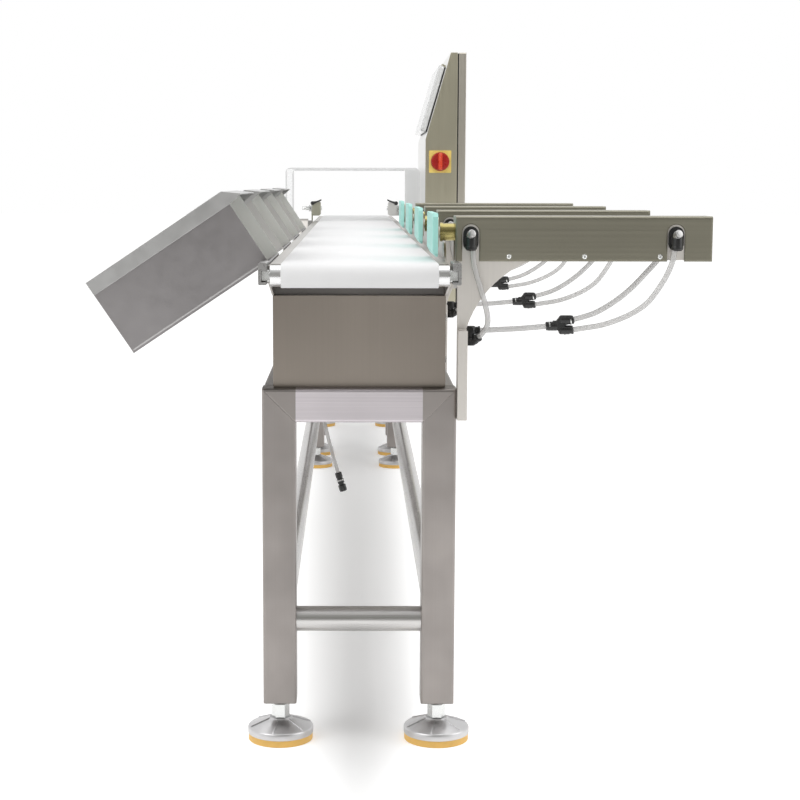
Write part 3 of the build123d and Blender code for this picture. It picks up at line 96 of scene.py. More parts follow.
# Between what values a noise mostly lies.
NOISE_SPAN = (0.3, 0.7)
WHITE = (1.0, 1.0, 1.0)
SIDE = Vector((1, 0, 0))
ALONG = Vector((0, 1, 0))
FRONT = Vector((0, -1, 0))
UP = Vector((0, 0, 1))


class Grain(Enum):
    """The way in which a sheet or tube was brushed, as noise scales along X, Y and Z."""

    ALONG_X = (2.0, 420.0, 420.0)
    ALONG_Y = (420.0, 2.0, 420.0)
    ALONG_Z = (420.0, 420.0, 2.0)
    NONE = (60.0, 60.0, 60.0)


class Slot(Enum):
    """The record's material slots, one given with each new piece."""

    FRAME = "stainless_frame"
    SHEET = "stainless_sheet"
    POLISHED = "polished_steel"
    ALUMINIUM = "aluminium"
    BELT = "belt_white"
    PAD = "pad_teal"
    BLACK = "fitting_black"
    HOSE = "hose_clear"
    FOOT = "foot_grey"
    RED = "switch_red"
    ZINC = "zinc_black"


def toned(colour: Colour, by: float = 1.0) -> tuple[float, float, float, float]:
    """A colour made lighter or darker by a factor, with full alpha."""
    return tuple(min(1.0, channel * by) for channel in colour) + (1.0,)


class NodeTree:
    """A material's or world's nodes, linked one to another."""

    def __init__(self, owner: bpy.types.ID) -> None:
        """Empties the owner's tree.

        Args:
            owner: The material or world.
        """
        owner.use_nodes = True
        self.tree = owner.node_tree
        self.tree.nodes.clear()

    def add(self, kind: str, **inputs: object) -> bpy.types.Node:
        """Adds a node and fills its sockets.

        Args:
            kind: The node's type without its ShaderNode prefix.
            inputs: Values or sockets by socket name, with underscores for blanks.

        Returns:
            The new node.
        """
        node = self.tree.nodes.new("ShaderNode" + kind)
        for name, value in inputs.items():
            self.fill(node, name.replace("_", " "), value)
        return node

    def fill(self, node: bpy.types.Node, name: str | int, value: object) -> None:
        """Links or sets one socket of a node.

        Args:
            node: The node.
            name: The socket's name or number.
            value: A socket to link from, or a value to set.
        """
        socket = node.inputs[name]
        if isinstance(value, Socket):
            self.tree.links.new(value, socket)
        else:
            socket.default_value = value

    def math(self, operation: str, first: object, second: object = 0.0) -> Socket:
        """Adds a math node.

        Args:
            operation: What it does.
            first: Its first value or socket.
            second: Its second value or socket.

        Returns:
            Its result.
        """
        node = self.add("Math")
        node.operation = operation
        self.fill(node, 0, first)
        self.fill(node, 1, second)
        return node.outputs[0]

    def mix(self, factor: Socket, first: object, second: object) -> Socket:
        """Mixes two colours.

        Args:
            factor: How much of the second colour there is, from 0 to 1.
            first: The first colour or its socket.
            second: The second colour or its socket.

        Returns:
            The mixed colour.
        """
        node = self.add("Mix", Factor=factor)
        node.data_type = "RGBA"
        self.fill(node, 6, first)
        self.fill(node, 7, second)
        return node.outputs[2]

    def ramp(self, value: Socket, low: float, high: float, start: float = 0.0, end: float = 1.0) -> Socket:
        """Maps a value from start and end to low and high, and keeps it between them."""
        ends = {"From_Min": start, "From_Max": end, "To_Min": low, "To_Max": high}
        return self.add("MapRange", Value=value, **ends).outputs[0]

    def spread(self, value: Socket, low: float, high: float) -> Socket:
        """Maps noise, which keeps to the middle of 0 to 1, to low and high."""
        return self.ramp(value, low, high, *NOISE_SPAN)

    def split(self, vector: Socket) -> bpy.types.NodeOutputs:
        """The X, Y and Z of a vector."""
        return self.add("SeparateXYZ", Vector=vector).outputs

    def noise(self, scale: Point | float, detail: float) -> Socket:
        """Adds noise in the object's own coordinates.

        Args:
            scale: Cycles per metre, either the same all ways or along X, Y and Z.
            detail: How many finer layers it has.

        Returns:
            The noise, from 0 to 1.
        """
        stretch = scale if isinstance(scale, tuple) else (scale, scale, scale)
        place = self.add("TexCoord").outputs["Object"]
        mapping = self.add("Mapping", Vector=place, Scale=stretch)
        return self.add("TexNoise", Vector=mapping.outputs[0], Scale=1.0, Detail=detail).outputs["Fac"]

    def rays(self, *kinds: str) -> Socket:
        """Tells where a surface is reached by a ray of one of some kinds.

        Args:
            kinds: The kinds, as Light Path names them.

        Returns:
            1 for these rays and 0 for others.
        """
        path = self.add("LightPath").outputs
        result = path[kinds[0]]
        for kind in kinds[1:]:
            result = self.math("MAXIMUM", result, path[kind])
        return result


def painted(name: str, surface: Callable[[NodeTree], Socket]) -> bpy.types.Material:
    """Makes a material once, and finds it again afterwards.

    Args:
        name: The material's name.
        surface: Adds the nodes of its surface and returns their result.

    Returns:
        The material.
    """
    made = bpy.data.materials.get(name)
    if not made:
        made = bpy.data.materials.new(name)
        kit = NodeTree(made)
        kit.add("OutputMaterial", Surface=surface(kit))
    return made


def stood(name: str, data: bpy.types.ID) -> bpy.types.Object:
    """Makes an object of some data and puts it in the scene.

    Args:
        name: The object's name.
        data: Its mesh, curve, lamp or camera.

    Returns:
        The object.
    """
    made = bpy.data.objects.new(name, data)
    bpy.context.scene.collection.objects.link(made)
    return made


class Zone(Enum):
    """A part of a finish's surface in another tone: painted light inside the chutes, on sheets facing the
    belts and on the clamp block by the cabinet, and the legs' darker tone on the rails' ends.
    """

    # Painted light: walls facing into a duct turn a matt near white for the light that the belt and lamps
    # throw in, and walls between chutes get part of it.
    DUCT_PAINTED_LIGHT = "where a chute's wall faces into its duct, and less where it faces the next chute"
    # Painted light: sheets facing the belts are lightened for the light that the belts' white throws on
    # them.
    PAINTED_BELT_LIGHT = "where a sheet faces the belts' white"
    # The rails' ends over the legs, in the legs' darker tone.
    PAST_LEGS = "where a rail's mitre lies over a leg and was ground with it"
    # Painted light: one of two identical clamp blocks is made pale for the light that the cabinet's side
    # throws on it.
    PAINTED_CABINET_LIGHT = "on the clamp block by the cabinet, which the cabinet's side lights"

    def factor(self, kit: NodeTree) -> Socket:
        """Adds the nodes that find the zone.

        Args:
            kit: The nodes of the finish.

        Returns:
            Where the zone is, from 0 to 1.
        """
        surface = kit.add("NewGeometry").outputs
        place, facing = kit.split(surface["Position"]), kit.split(surface["True Normal"])
        if self is Zone.PAINTED_BELT_LIGHT:
            return kit.math("LESS_THAN", facing["X"], TOWARDS_BELTS)
        if self is Zone.PAINTED_CABINET_LIGHT:
            low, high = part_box("clamp_blocks")
            return kit.math("GREATER_THAN", place["X"], (low.x + high.x) / 2)
        if self is Zone.PAST_LEGS:
            low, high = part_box("conveyor_belts")
            aside = kit.math("SUBTRACT", place["X"], (low.x + high.x) / 2)
            return kit.math("GREATER_THAN", kit.math("ABSOLUTE", aside), LEG_INSIDE)
        # Painted light on the chutes: on walls facing into their duct, and in part on upright walls between
        # two chutes.
        low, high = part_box("chute_ducts")
        first_middle = low.y + (high.y - low.y - STATION_GAPS * STATION_PITCH) / 2
        turns = kit.math("DIVIDE", kit.math("SUBTRACT", place["Y"], first_middle), STATION_PITCH)
        from_middle = kit.math("SUBTRACT", turns, kit.math("ROUND", turns))
        inside = kit.math("LESS_THAN", kit.math("MULTIPLY", from_middle, facing["Y"]), INTO_DUCT)
        aside = kit.math("ABSOLUTE", kit.math("SUBTRACT", place["Y"], (low.y + high.y) / 2))
        between = kit.math("LESS_THAN", aside, (high.y - low.y) / 2 - HALF_SHEET)
        upright = kit.math("GREATER_THAN", kit.math("ABSOLUTE", facing["Y"]), UPRIGHT)
        beside = kit.math("MULTIPLY", between, upright)
        return kit.math("MAXIMUM", inside, kit.math("MULTIPLY", beside, PAINTED_LIGHT_BESIDE_CHUTE))


@dataclass(frozen=True)
class Finish:
    """A surface finish, from brushed steel to moulded plastic."""

    name: str
    colour: Colour
    metallic: float = 0.0
    roughness: float = 0.5
    rough_spread: float = 0.04
    grain: Grain = Grain.NONE
    fine_tone: float = 0.02
    cloud_tone: float = 0.05
    cloud_scale: float = 5.0
    bump: float = 0.02
    bump_depth: float = 0.0002
    coat: float = 0.0
    edge: float = 0.0
    specular: float = 0.5
    # A zone of the surface in its own colour and metalness; most zones are painted light.
    zone: Zone | None = None
    zone_colour: Colour = WHITE
    zone_metallic: float = 1.0

    def surface(self, kit: NodeTree) -> Socket:
        """Adds the finish's nodes.

        Args:
            kit: The material's nodes.

        Returns:
            The shader.
        """
        fine = kit.noise(self.grain.value, FINE_DETAIL)
        cloud = kit.noise(self.cloud_scale, CLOUD_DETAIL)
        darker, lighter = toned(self.colour, 1 - self.fine_tone), toned(self.colour, 1 + self.fine_tone)
        clouded = kit.add("HueSaturation", Color=kit.mix(kit.spread(fine, 0.0, 1.0), darker, lighter))
        kit.fill(clouded, "Value", kit.spread(cloud, 1 - self.cloud_tone, 1 + self.cloud_tone))
        low, high = self.roughness - self.rough_spread, self.roughness + self.rough_spread
        height = kit.add("Bump", Height=fine, Strength=self.bump, Distance=self.bump_depth)
        if self.edge:
            kit.fill(height, "Normal", kit.add("Bevel", Radius=self.edge * MM).outputs[0])
        skin = kit.add("BsdfPrincipled", Base_Color=clouded.outputs[0], Metallic=self.metallic)
        if self.zone:
            within = self.zone.factor(kit)
            kit.fill(skin, "Base Color", kit.mix(within, clouded.outputs[0], toned(self.zone_colour)))
            kit.fill(skin, "Metallic", kit.ramp(within, self.metallic, self.zone_metallic))
        kit.fill(skin, "Roughness", kit.spread(fine, low, high))
        kit.fill(skin, "Normal", height.outputs[0])
        kit.fill(skin, "Coat Weight", self.coat)
        kit.fill(skin, "Specular IOR Level", self.specular)
        return skin.outputs[0]

    def material(self) -> bpy.types.Material:
        """The finish's material."""
        return painted(self.name, self.surface)


@dataclass(frozen=True)
class Brushed(Finish):
    """Brushed stainless steel; edge is the width in millimetres over which its edges look round."""

    metallic: float = 1.0
    roughness: float = 0.34
    grain: Grain = Grain.ALONG_Z
    edge: float = 1.5


@dataclass(frozen=True)
class Turned(Finish):
    """Metal that isn't brushed sheet or tube: turned, milled, cast or plated."""

    metallic: float = 1.0
    roughness: float = 0.28
    rough_spread: float = 0.05
    fine_tone: float = 0.05


@dataclass(frozen=True)
class Plastic(Finish):
    """Moulded plastic, rubber or paint."""

    rough_spread: float = 0.06
    fine_tone: float = 0.05
    cloud_scale: float = 30.0
    bump: float = 0.05


class Rim(Enum):
    """Where a clear plastic looks denser."""

    GLANCING = "where a round hose turns away from the eye, as its wall is thicker there"
    SAWN = "on the sawn edges of a sheet, which face along the belts"
    EITHER = "in both places"


@dataclass(frozen=True)
class ClearFinish:
    """A clear or frosted plastic with denser rims."""

    name: str
    colour: Colour
    rim_colour: Colour
    rim: Rim
    alpha: float
    rim_alpha: float
    roughness: float = 0.12
    rim_low: float = 0.6
    rim_high: float = 0.9
    ior: float = 1.45
    cloud_scale: float = 14.0
    rough_share: float = 0.2

    def rim_factor(self, kit: NodeTree) -> Socket:
        """Adds the nodes that find the rim.

        Args:
            kit: The material's nodes.

        Returns:
            Where the rim is, from 0 to 1.
        """
        glancing = kit.add("LayerWeight", Blend=0.5).outputs["Facing"]
        sawn = kit.math("ABSOLUTE", kit.split(kit.add("NewGeometry").outputs["Normal"])["Y"])
        either = kit.math("MAXIMUM", glancing, sawn)
        amount = {Rim.GLANCING: glancing, Rim.SAWN: sawn, Rim.EITHER: either}[self.rim]
        return kit.ramp(amount, 0.0, 1.0, self.rim_low, self.rim_high)

    def surface(self, kit: NodeTree) -> Socket:
        """Adds the plastic's nodes.

        Args:
            kit: The material's nodes.

        Returns:
            The shader.
        """
        cloud = kit.noise(self.cloud_scale, CLEAR_DETAIL)
        low, high = 1 - self.rough_share, 1 + self.rough_share
        rough = kit.spread(cloud, self.roughness * low, self.roughness * high)
        factor = self.rim_factor(kit)
        colour = kit.mix(factor, toned(self.colour), toned(self.rim_colour))
        skin = kit.add("BsdfPrincipled", Base_Color=colour, Roughness=rough)
        kit.fill(skin, "Alpha", kit.ramp(factor, self.alpha, self.rim_alpha))
        kit.fill(skin, "IOR", self.ior)
        return skin.outputs[0]

    def material(self) -> bpy.types.Material:
        """The plastic's material."""
        return painted(self.name, self.surface)


LEG_TONE = (0.295, 0.272, 0.258)
SHELL_TONE = (0.55, 0.52, 0.405)
# The tone of painted light, on sheets facing the belts and on the clamp block by the cabinet.
PAINTED_LIGHT_TONE = (0.86, 0.86, 0.84)
TUBE_Z = Brushed("steel_tube_upright", LEG_TONE, roughness=0.36, cloud_tone=0.14, cloud_scale=10.0, edge=2.0)
# Over the legs, the rails' ends take the legs' darker tone.
TUBE_X = Brushed(
    "steel_tube_across", (0.55, 0.515, 0.535), grain=Grain.ALONG_X, fine_tone=0.08, cloud_tone=0.10,
    edge=2.0, zone=Zone.PAST_LEGS, zone_colour=LEG_TONE,
)
TUBE_Y = Brushed("steel_tube_lengthwise", (0.46, 0.44, 0.425), grain=Grain.ALONG_Y, edge=2.0)
SHEET_X = Brushed("steel_sheet_across", (0.285, 0.252, 0.219), roughness=0.36)
SHEET_Y = Brushed(
    "steel_sheet_lengthwise", (0.48, 0.46, 0.435), roughness=0.36, grain=Grain.ALONG_Y, cloud_tone=0.04,
    edge=1.0,
)
SHEET_Z = Brushed("steel_sheet_upright", SHELL_TONE, cloud_tone=0.06)
# Its faces turned to the belts get painted light in a pale matt tone.
SHELL = Brushed(
    "steel_cabinet", SHELL_TONE, cloud_tone=0.06, zone=Zone.PAINTED_BELT_LIGHT, zone_colour=PAINTED_LIGHT_TONE, zone_metallic=0.85,
)
# The clamp block by the cabinet gets painted light in the pale tone.
BLOCK = Brushed(
    "steel_clamp_block", (0.50, 0.495, 0.40), cloud_tone=0.06, zone=Zone.PAINTED_CABINET_LIGHT, zone_colour=PAINTED_LIGHT_TONE,
    zone_metallic=0.85,
)
DOOR = Brushed("steel_door", (0.62, 0.585, 0.515), edge=2.5)
# Painted shade: a dark steel for the strips that stand for the shaded gap under the belt's nose.
PAINTED_SHADE_STEEL = Brushed(
    "steel_painted_shade", (0.128, 0.12, 0.113), 0.7, 0.42, grain=Grain.ALONG_X, cloud_tone=0.10, edge=0.0,
)
COVER = Brushed("steel_pusher_cover", (0.285, 0.272, 0.216), grain=Grain.ALONG_X, cloud_tone=0.06, edge=4.0)
GUSSET = Brushed("steel_gusset", (0.70, 0.67, 0.63), 0.75, 0.45, edge=1.0)
# The ducts' insides get painted light, a matt near white.
CHUTE = Brushed(
    "steel_chute", (0.312, 0.298, 0.30), 0.85, 0.38, grain=Grain.NONE, cloud_tone=0.11, edge=1.2,
    zone=Zone.DUCT_PAINTED_LIGHT, zone_colour=(0.97, 0.97, 0.92), zone_metallic=0.0,
)
HOOD = Brushed(
    "steel_hood", (0.51, 0.508, 0.504), 0.85, 0.36, grain=Grain.NONE, cloud_tone=0.16, cloud_scale=9.0,
    edge=1.2,
)
# Painted sheen: a light steel for the strip at the foot of each duct's near wall.
PAINTED_SHEEN_STEEL = Brushed("steel_painted_sheen", (0.58, 0.57, 0.57), 0.85, 0.36, grain=Grain.ALONG_X, edge=0.0)
POLISHED = Turned(
    "polished_steel_round", (0.55, 0.54, 0.53), roughness=0.30, rough_spread=0.04, grain=Grain.ALONG_X,
    fine_tone=0.03,
)
SILVER = Turned("turned_aluminium", (0.68, 0.68, 0.68), rough_spread=0.06, grain=Grain.ALONG_X)
ARM = Turned("milled_arm", (0.40, 0.395, 0.39), roughness=0.30, grain=Grain.ALONG_Y, edge=0.8)
CAST = Turned(
    "cast_foot_metal", (0.60, 0.595, 0.60), roughness=0.36, fine_tone=0.02, cloud_tone=0.04,
    cloud_scale=12.0, bump=0.03,
)
ZINC = Turned("bright_zinc", (0.72, 0.73, 0.72), roughness=0.24)
KNURL = Turned("knurled_nickel", (0.46, 0.455, 0.45))
BRASS = Turned(
    "turned_brass", (0.36, 0.31, 0.125), roughness=0.24, rough_spread=0.06, grain=Grain.ALONG_X,
    fine_tone=0.08,
)
BELT = Plastic(
    "belt_cover", (0.91, 0.91, 0.915), roughness=0.6, rough_spread=0.05, fine_tone=0.006, cloud_tone=0.008,
    cloud_scale=3.0, bump=0.06, bump_depth=0.0001, specular=0.04,
)
TEAL = Plastic(
    "pad_plastic", (0.42, 0.81, 0.74), roughness=0.45, fine_tone=0.03, cloud_tone=0.04, cloud_scale=20.0,
)
BLACK = Plastic(
    "moulded_black", (0.018, 0.018, 0.018), roughness=0.34, rough_spread=0.08, fine_tone=0.2, cloud_tone=0.1,
    cloud_scale=60.0, bump=0.15,
)
RUBBER = Plastic(
    "black_rubber", (0.03, 0.028, 0.027), roughness=0.6, rough_spread=0.08, fine_tone=0.1, cloud_tone=0.1,
    cloud_scale=40.0, bump=0.2,
)
ORANGE = Plastic("orange_rubber", (0.96, 0.60, 0.17), fine_tone=0.03, cloud_tone=0.04, cloud_scale=40.0)
MOTOR = Plastic("motor_paint", (0.06, 0.065, 0.07), roughness=0.4, bump=0.1)
SCREEN = Plastic(
    "screen_glass", (0.012, 0.014, 0.018), roughness=0.08, rough_spread=0.02, cloud_tone=0.02,
    cloud_scale=10.0, bump=0.0, coat=0.5,
)
YELLOW = Plastic(
    "switch_plate_yellow", (0.93, 0.72, 0.20), roughness=0.32, rough_spread=0.05, fine_tone=0.03,
    cloud_tone=0.04,
)
RED = Plastic("switch_dial_red", (0.40, 0.012, 0.01), roughness=0.28, rough_spread=0.05)
BRIGHT_RED = Plastic(
    "switch_handle_red", (0.80, 0.07, 0.025), roughness=0.28, rough_spread=0.05, cloud_tone=0.04,
)
DEVICE = Plastic(
    "device_grey", (0.30, 0.31, 0.32), fine_tone=0.06, cloud_tone=0.08, cloud_scale=12.0, bump=0.1,
)
HOSE = ClearFinish(
    "hose_plastic", (0.74, 0.73, 0.72), (0.12, 0.115, 0.11), Rim.GLANCING, 0.62, 0.96,
    roughness=0.10, rim_low=0.42, rim_high=0.80,
)
SHIELD = ClearFinish("shield_plastic", (0.88, 0.89, 0.90), (0.80, 0.81, 0.81), Rim.SAWN, 0.22, 0.80)
LID = ClearFinish(
    "lid_plastic", (0.90, 0.91, 0.92), (0.88, 0.885, 0.885), Rim.EITHER, 0.25, 0.90,
    rim_low=0.45, rim_high=0.80,
)


class Row:
    """The row frame: turns the part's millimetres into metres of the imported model."""

    def __init__(self, frame: dict) -> None:
        """Finds the belts' centre line, the frame's front and the pusher stations.
        """
        self.nodes: dict[str, bpy.types.Object] = frame["nodes"]
        belt_low, belt_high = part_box("conveyor_belts")
        legs_low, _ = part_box("frame_legs")
        self.origin = Vector(((belt_low.x + belt_high.x) / 2, legs_low.y, 0.0))
        pads = [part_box(f"pusher_{number}") for number in range(1, 5)]
        self.stations = [((low.y + high.y) / 2 - self.origin.y) / MM for low, high in pads]

    def spot(self, x: float, y: float, z: float) -> Vector:
        """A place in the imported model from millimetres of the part."""
        return self.origin + Vector((x, y, z)) * MM

    def dress(self, finish: Finish | ClearFinish, *names: str) -> None:
        """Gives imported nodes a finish.

        Args:
            finish: The finish.
            names: The nodes.
        """
        for name in names:
            node = self.nodes[name]
            node.data.materials.clear()
            node.data.materials.append(finish.material())


@dataclass(frozen=True)
class Board:
    """A drawing plane: a corner, the way its outline's first axis runs and the way it faces."""

    at: Vector
    right: Vector = SIDE
    out: Vector = FRONT

    def matrix(self) -> Matrix:
        """Works out the plane's frame.

        Returns:
            The frame, in metres.
        """
        up = self.out.cross(self.right).normalized()
        turn = Matrix((self.right.normalized(), up, self.out.normalized())).transposed()
        return Matrix.Translation(self.at) @ turn.to_4x4()


def arc(centre: Flat, radius: float, start: float, end: float, steps: int = 8) -> list[Flat]:
    """Points of an arc, its angles in degrees."""
    angles = [math.radians(start + (end - start) * i / steps) for i in range(steps + 1)]
    return [(centre[0] + radius * math.cos(a), centre[1] + radius * math.sin(a)) for a in angles]


def rounded(width: float, height: float, radius: float, steps: int = 5) -> list[Flat]:
    """Draws a rectangle with round corners, about its middle.

    Args:
        width: Its width.
        height: Its height.
        radius: Its corners' radius.
        steps: The number of sides to a corner.

    Returns:
        Its outline.
    """
    x, y = width / 2 - radius, height / 2 - radius
    corners = (((x, y), 0), ((-x, y), 90), ((-x, -y), 180), ((x, -y), 270))
    return [p for centre, turn in corners for p in arc(centre, radius, turn, turn + 90, steps)]


def polygon(radius: float, sides: int, turn: float = 0.0) -> list[Flat]:
    """The outline of a regular polygon by its outer radius."""
    return arc((0, 0), radius, turn, turn + 360 - 360 / sides, sides - 1)


class Mould:
    """Gathers the solids of one piece in one mesh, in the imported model's metres."""

    def __init__(self) -> None:
        """Starts empty."""
        self.mesh = bmesh.new()

    def _skin(self, rings: list[list[bmesh.types.BMVert]], loop: bool) -> None:
        """Joins neighbouring rings with faces, and closes each open end.

        Args:
            rings: The rings, each with as many points as the others or with one.
            loop: Whether the last ring joins the first.
        """
        pairs = list(zip(rings, rings[1:] + rings[:1] if loop else rings[1:]))
        for ring, following in pairs:
            count = max(len(ring), len(following))
            for i in range(count):
                corners = [ring[i % len(ring)], ring[(i + 1) % len(ring)]]
                corners += [following[(i + 1) % len(following)], following[i % len(following)]]
                unique = list(dict.fromkeys(corners))
                if len(unique) > 2:
                    self.mesh.faces.new(unique)
        if not loop:
            for ring in (rings[0], rings[-1]):
                if len(ring) > 2:
                    self.mesh.faces.new(ring if ring is rings[-1] else ring[::-1])

    def lathe(
        self, base: Vector, axis: Vector, profile: list[Flat], steps: int = 24, loop: bool = False
    ) -> None:
        """Turns a profile about an axis.

        Args:
            base: Where the axis starts, in metres.
            axis: The way along the axis.
            profile: Radius and height of each point, in millimetres.
            steps: The number of sides.
            loop: Whether the profile closes on itself, as a ring's does.
        """
        turn = axis.normalized().to_track_quat("Z", "X")
        rings = []
        for radius, height in profile:
            sides = steps if radius else 1
            angles = [2 * math.pi * i / steps for i in range(sides)]
            points = [Vector((radius * math.cos(a), radius * math.sin(a), height)) * MM for a in angles]
            rings.append([self.mesh.verts.new(base + turn @ point) for point in points])
        self._skin(rings, loop)

    def prism(self, board: Board, outline: list[Flat], depth: float) -> None:
        """Raises an outline from a board.

        Args:
            board: The board.
            outline: The outline on it, in millimetres.
            depth: How far it is raised, in millimetres.
        """
        frame = board.matrix()
        rings = []
        for height in (0.0, depth):
            points = [frame @ (Vector((u, v, height)) * MM) for u, v in outline]
            rings.append([self.mesh.verts.new(point) for point in points])
        self._skin(rings, loop=False)

    def sections(self, rings: list[list[Vector]], loop: bool = False) -> None:
        """Skins a row of closed sections with as many points each."""
        self._skin([[self.mesh.verts.new(point) for point in ring] for ring in rings], loop)

    def piece(
        self, name: str, finish: Finish | ClearFinish, slot: Slot, body: str = "machine",
        bevel: float = 0.0, replaces: tuple[str, ...] = (), smooth: float = 35.0,
    ) -> bpy.types.Object:
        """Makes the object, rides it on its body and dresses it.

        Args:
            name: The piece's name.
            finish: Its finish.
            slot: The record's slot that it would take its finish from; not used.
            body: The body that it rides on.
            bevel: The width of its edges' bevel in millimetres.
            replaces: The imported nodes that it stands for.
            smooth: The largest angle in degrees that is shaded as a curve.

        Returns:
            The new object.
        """
        bmesh.ops.recalc_face_normals(self.mesh, faces=self.mesh.faces)
        data = bpy.data.meshes.new(name)
        self.mesh.to_mesh(data)
        self.mesh.free()
        data.shade_smooth()
        data.set_sharp_from_angle(angle=math.radians(smooth))
        made = stood(name, data)
        data.materials.append(finish.material())
        if bevel:
            edge = made.modifiers.new("edge", "BEVEL")
            edge.width = bevel * MM
            edge.segments = 2
            edge.limit_method = "ANGLE"
            edge.harden_normals = True
        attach(made, body)
        if replaces:
            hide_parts(*replaces)
        log.info("made %s", name)
        return made


@dataclass
class Studio:
    """The photograph's camera, its soft lights and the white ground.

    The floor and its painted shadow are in metres, and the painted shadow's span in metres aside for
    each metre from the eye.
    """

    row: Row
    lens: float = 74.25
    eye: Point = (-10.2, -2415.9, 842.7)
    turn_right: float = 0.007
    tilt_down: float = 7.495
    roll: float = 0.093
    shift: float = 0.0594
    floor_half: float = 40.0
    floor_front: float = -7.5
    paper_tone: Colour = (0.93, 0.93, 0.93)
    wall_tone: Colour = (0.32, 0.315, 0.30)
    room_tone: Colour = (0.70, 0.70, 0.70)
    wall_span: Flat = (-0.85, -0.25)
    # How much the floor is lifted to white aside, far off and in front; the painted shadow band lies where
    # the lift is least.
    side_glow: float = 0.55
    far_glow: float = 0.065
    front_glow: float = 0.62
    shadow_span: Flat = (0.003, 0.043)
    shadow_curve: float = 1.4
    shadow_front: float = 0.1
    shadow_back: float = 0.25
    nearest: float = 0.3

    def camera(self) -> None:
        """Makes the camera at the photograph's place."""
        data = bpy.data.cameras.new("camera")
        data.lens = self.lens
        data.sensor_width = 36.0
        data.shift_x = self.shift
        data.clip_end = 200.0
        made = stood("camera", data)
        side, down = math.radians(self.turn_right), math.radians(self.tilt_down)
        ahead = Vector((math.sin(side) * math.cos(down), math.cos(side) * math.cos(down), -math.sin(down)))
        made.rotation_mode = "QUATERNION"
        level = ahead.to_track_quat("-Z", "Y")
        made.rotation_quaternion = level @ Quaternion((0, 0, 1), math.radians(self.roll))
        made.location = self.row.spot(*self.eye)
        bpy.context.scene.camera = made

    def lamp(self, name: str, at: Point, towards: Point, size: float, power: float) -> None:
        """Adds a square soft light.

        Args:
            name: Its name.
            at: Its place, in the part's millimetres.
            towards: The place that it looks at.
            size: Its side in metres.
            power: Its power in watts.
        """
        data = bpy.data.lights.new(name, "AREA")
        data.size = size
        data.energy = power
        made = stood(name, data)
        made.location = self.row.spot(*at)
        ahead = self.row.spot(*towards) - made.location
        made.rotation_mode = "QUATERNION"
        made.rotation_quaternion = ahead.to_track_quat("-Z", "Y")

    def lights(self) -> None:
        """Lights the machine from above, from the front left and from the right."""
        self.lamp("top_light", (-200, 900, 3600), (0, 900, 700), 3.4, 42.0)
        self.lamp("front_light", (-2300, -1700, 2500), (0, 300, 650), 2.2, 32.0)
        self.lamp("side_light", (3000, -600, 1900), (100, 700, 650), 2.4, 24.0)

    def surroundings(self) -> None:
        """Makes a bright studio with a dimmer wall behind the photographer."""
        world = bpy.context.scene.world or bpy.data.worlds.new("studio")
        bpy.context.scene.world = world
        kit = NodeTree(world)
        way = kit.split(kit.add("TexCoord").outputs["Generated"])
        ahead = kit.ramp(way["Y"], 0.0, 1.0, *self.wall_span)
        lit = kit.mix(kit.rays("Is Glossy Ray"), toned(self.room_tone), toned(WHITE))
        room = kit.add("Background", Color=kit.mix(ahead, toned(self.wall_tone), lit), Strength=1.0)
        white = kit.add("Background", Color=toned(WHITE), Strength=1.0)
        mixed = kit.add("MixShader")
        kit.fill(mixed, 0, kit.rays("Is Camera Ray", "Is Transmission Ray"))
        kit.fill(mixed, 1, room.outputs[0])
        kit.fill(mixed, 2, white.outputs[0])
        kit.add("OutputWorld", Surface=mixed.outputs[0])

    def glow(self, kit: NodeTree) -> Socket:
        """Finds how far the floor is lifted to white: least along the belts' centre line, which leaves a
        painted shadow band there besides the cast shadow.

        Args:
            kit: The floor's nodes.

        Returns:
            The strength of the lift.
        """
        place = kit.split(kit.add("TexCoord").outputs["Object"])
        depth = kit.math("SUBTRACT", place["Y"], self.row.origin.y)
        away = kit.math("MAXIMUM", kit.math("ADD", depth, -self.eye[1] * MM), self.nearest)
        across = kit.math("ABSOLUTE", kit.math("SUBTRACT", place["X"], self.row.origin.x))
        side = kit.ramp(kit.math("DIVIDE", across, away), 0.0, 1.0, *self.shadow_span)
        aside = kit.math("MULTIPLY", kit.math("POWER", side, self.shadow_curve), self.side_glow)
        beyond = kit.math("MULTIPLY", kit.math("SUBTRACT", depth, self.shadow_back), self.far_glow)
        before = kit.math("MULTIPLY", kit.math("SUBTRACT", self.shadow_front, depth), self.front_glow)
        lifted = kit.math("MAXIMUM", kit.math("MAXIMUM", beyond, before), 0.0)
        return kit.math("MINIMUM", kit.math("ADD", aside, lifted), self.side_glow)

    def paper(self, kit: NodeTree) -> Socket:
        """Adds the floor's nodes: pale paper that turns white to the eye, except in a painted shadow band,
        and keeps the soft cast shadow.

        Args:
            kit: The floor's nodes.

        Returns:
            The shader.
        """
        seen = kit.rays("Is Camera Ray", "Is Transmission Ray", "Is Glossy Ray")
        glow = kit.add("Emission", Color=toned(WHITE), Strength=kit.math("MULTIPLY", seen, self.glow(kit)))
        both = kit.add("AddShader")
        kit.fill(both, 0, kit.add("BsdfDiffuse", Color=toned(self.paper_tone)).outputs[0])
        kit.fill(both, 1, glow.outputs[0])
        return both.outputs[0]

    def ground(self) -> None:
        """Lays the floor half a millimetre below the feet."""
        mesh = bmesh.new()
        half = self.floor_half
        corners = ((-half, self.floor_front), (half, self.floor_front), (half, half), (-half, half))
        mesh.faces.new([mesh.verts.new((x, y, -0.5 * MM)) for x, y in corners])
        data = bpy.data.meshes.new("studio_floor")
        mesh.to_mesh(data)
        mesh.free()
        data.materials.append(painted("studio_paper", self.paper))
        stood("studio_floor", data)

    def build(self) -> None:
        """Sets the whole studio up."""
        bpy.context.scene.view_settings.view_transform = "Standard"
        self.camera()
        self.lights()
        self.surroundings()
        self.ground()


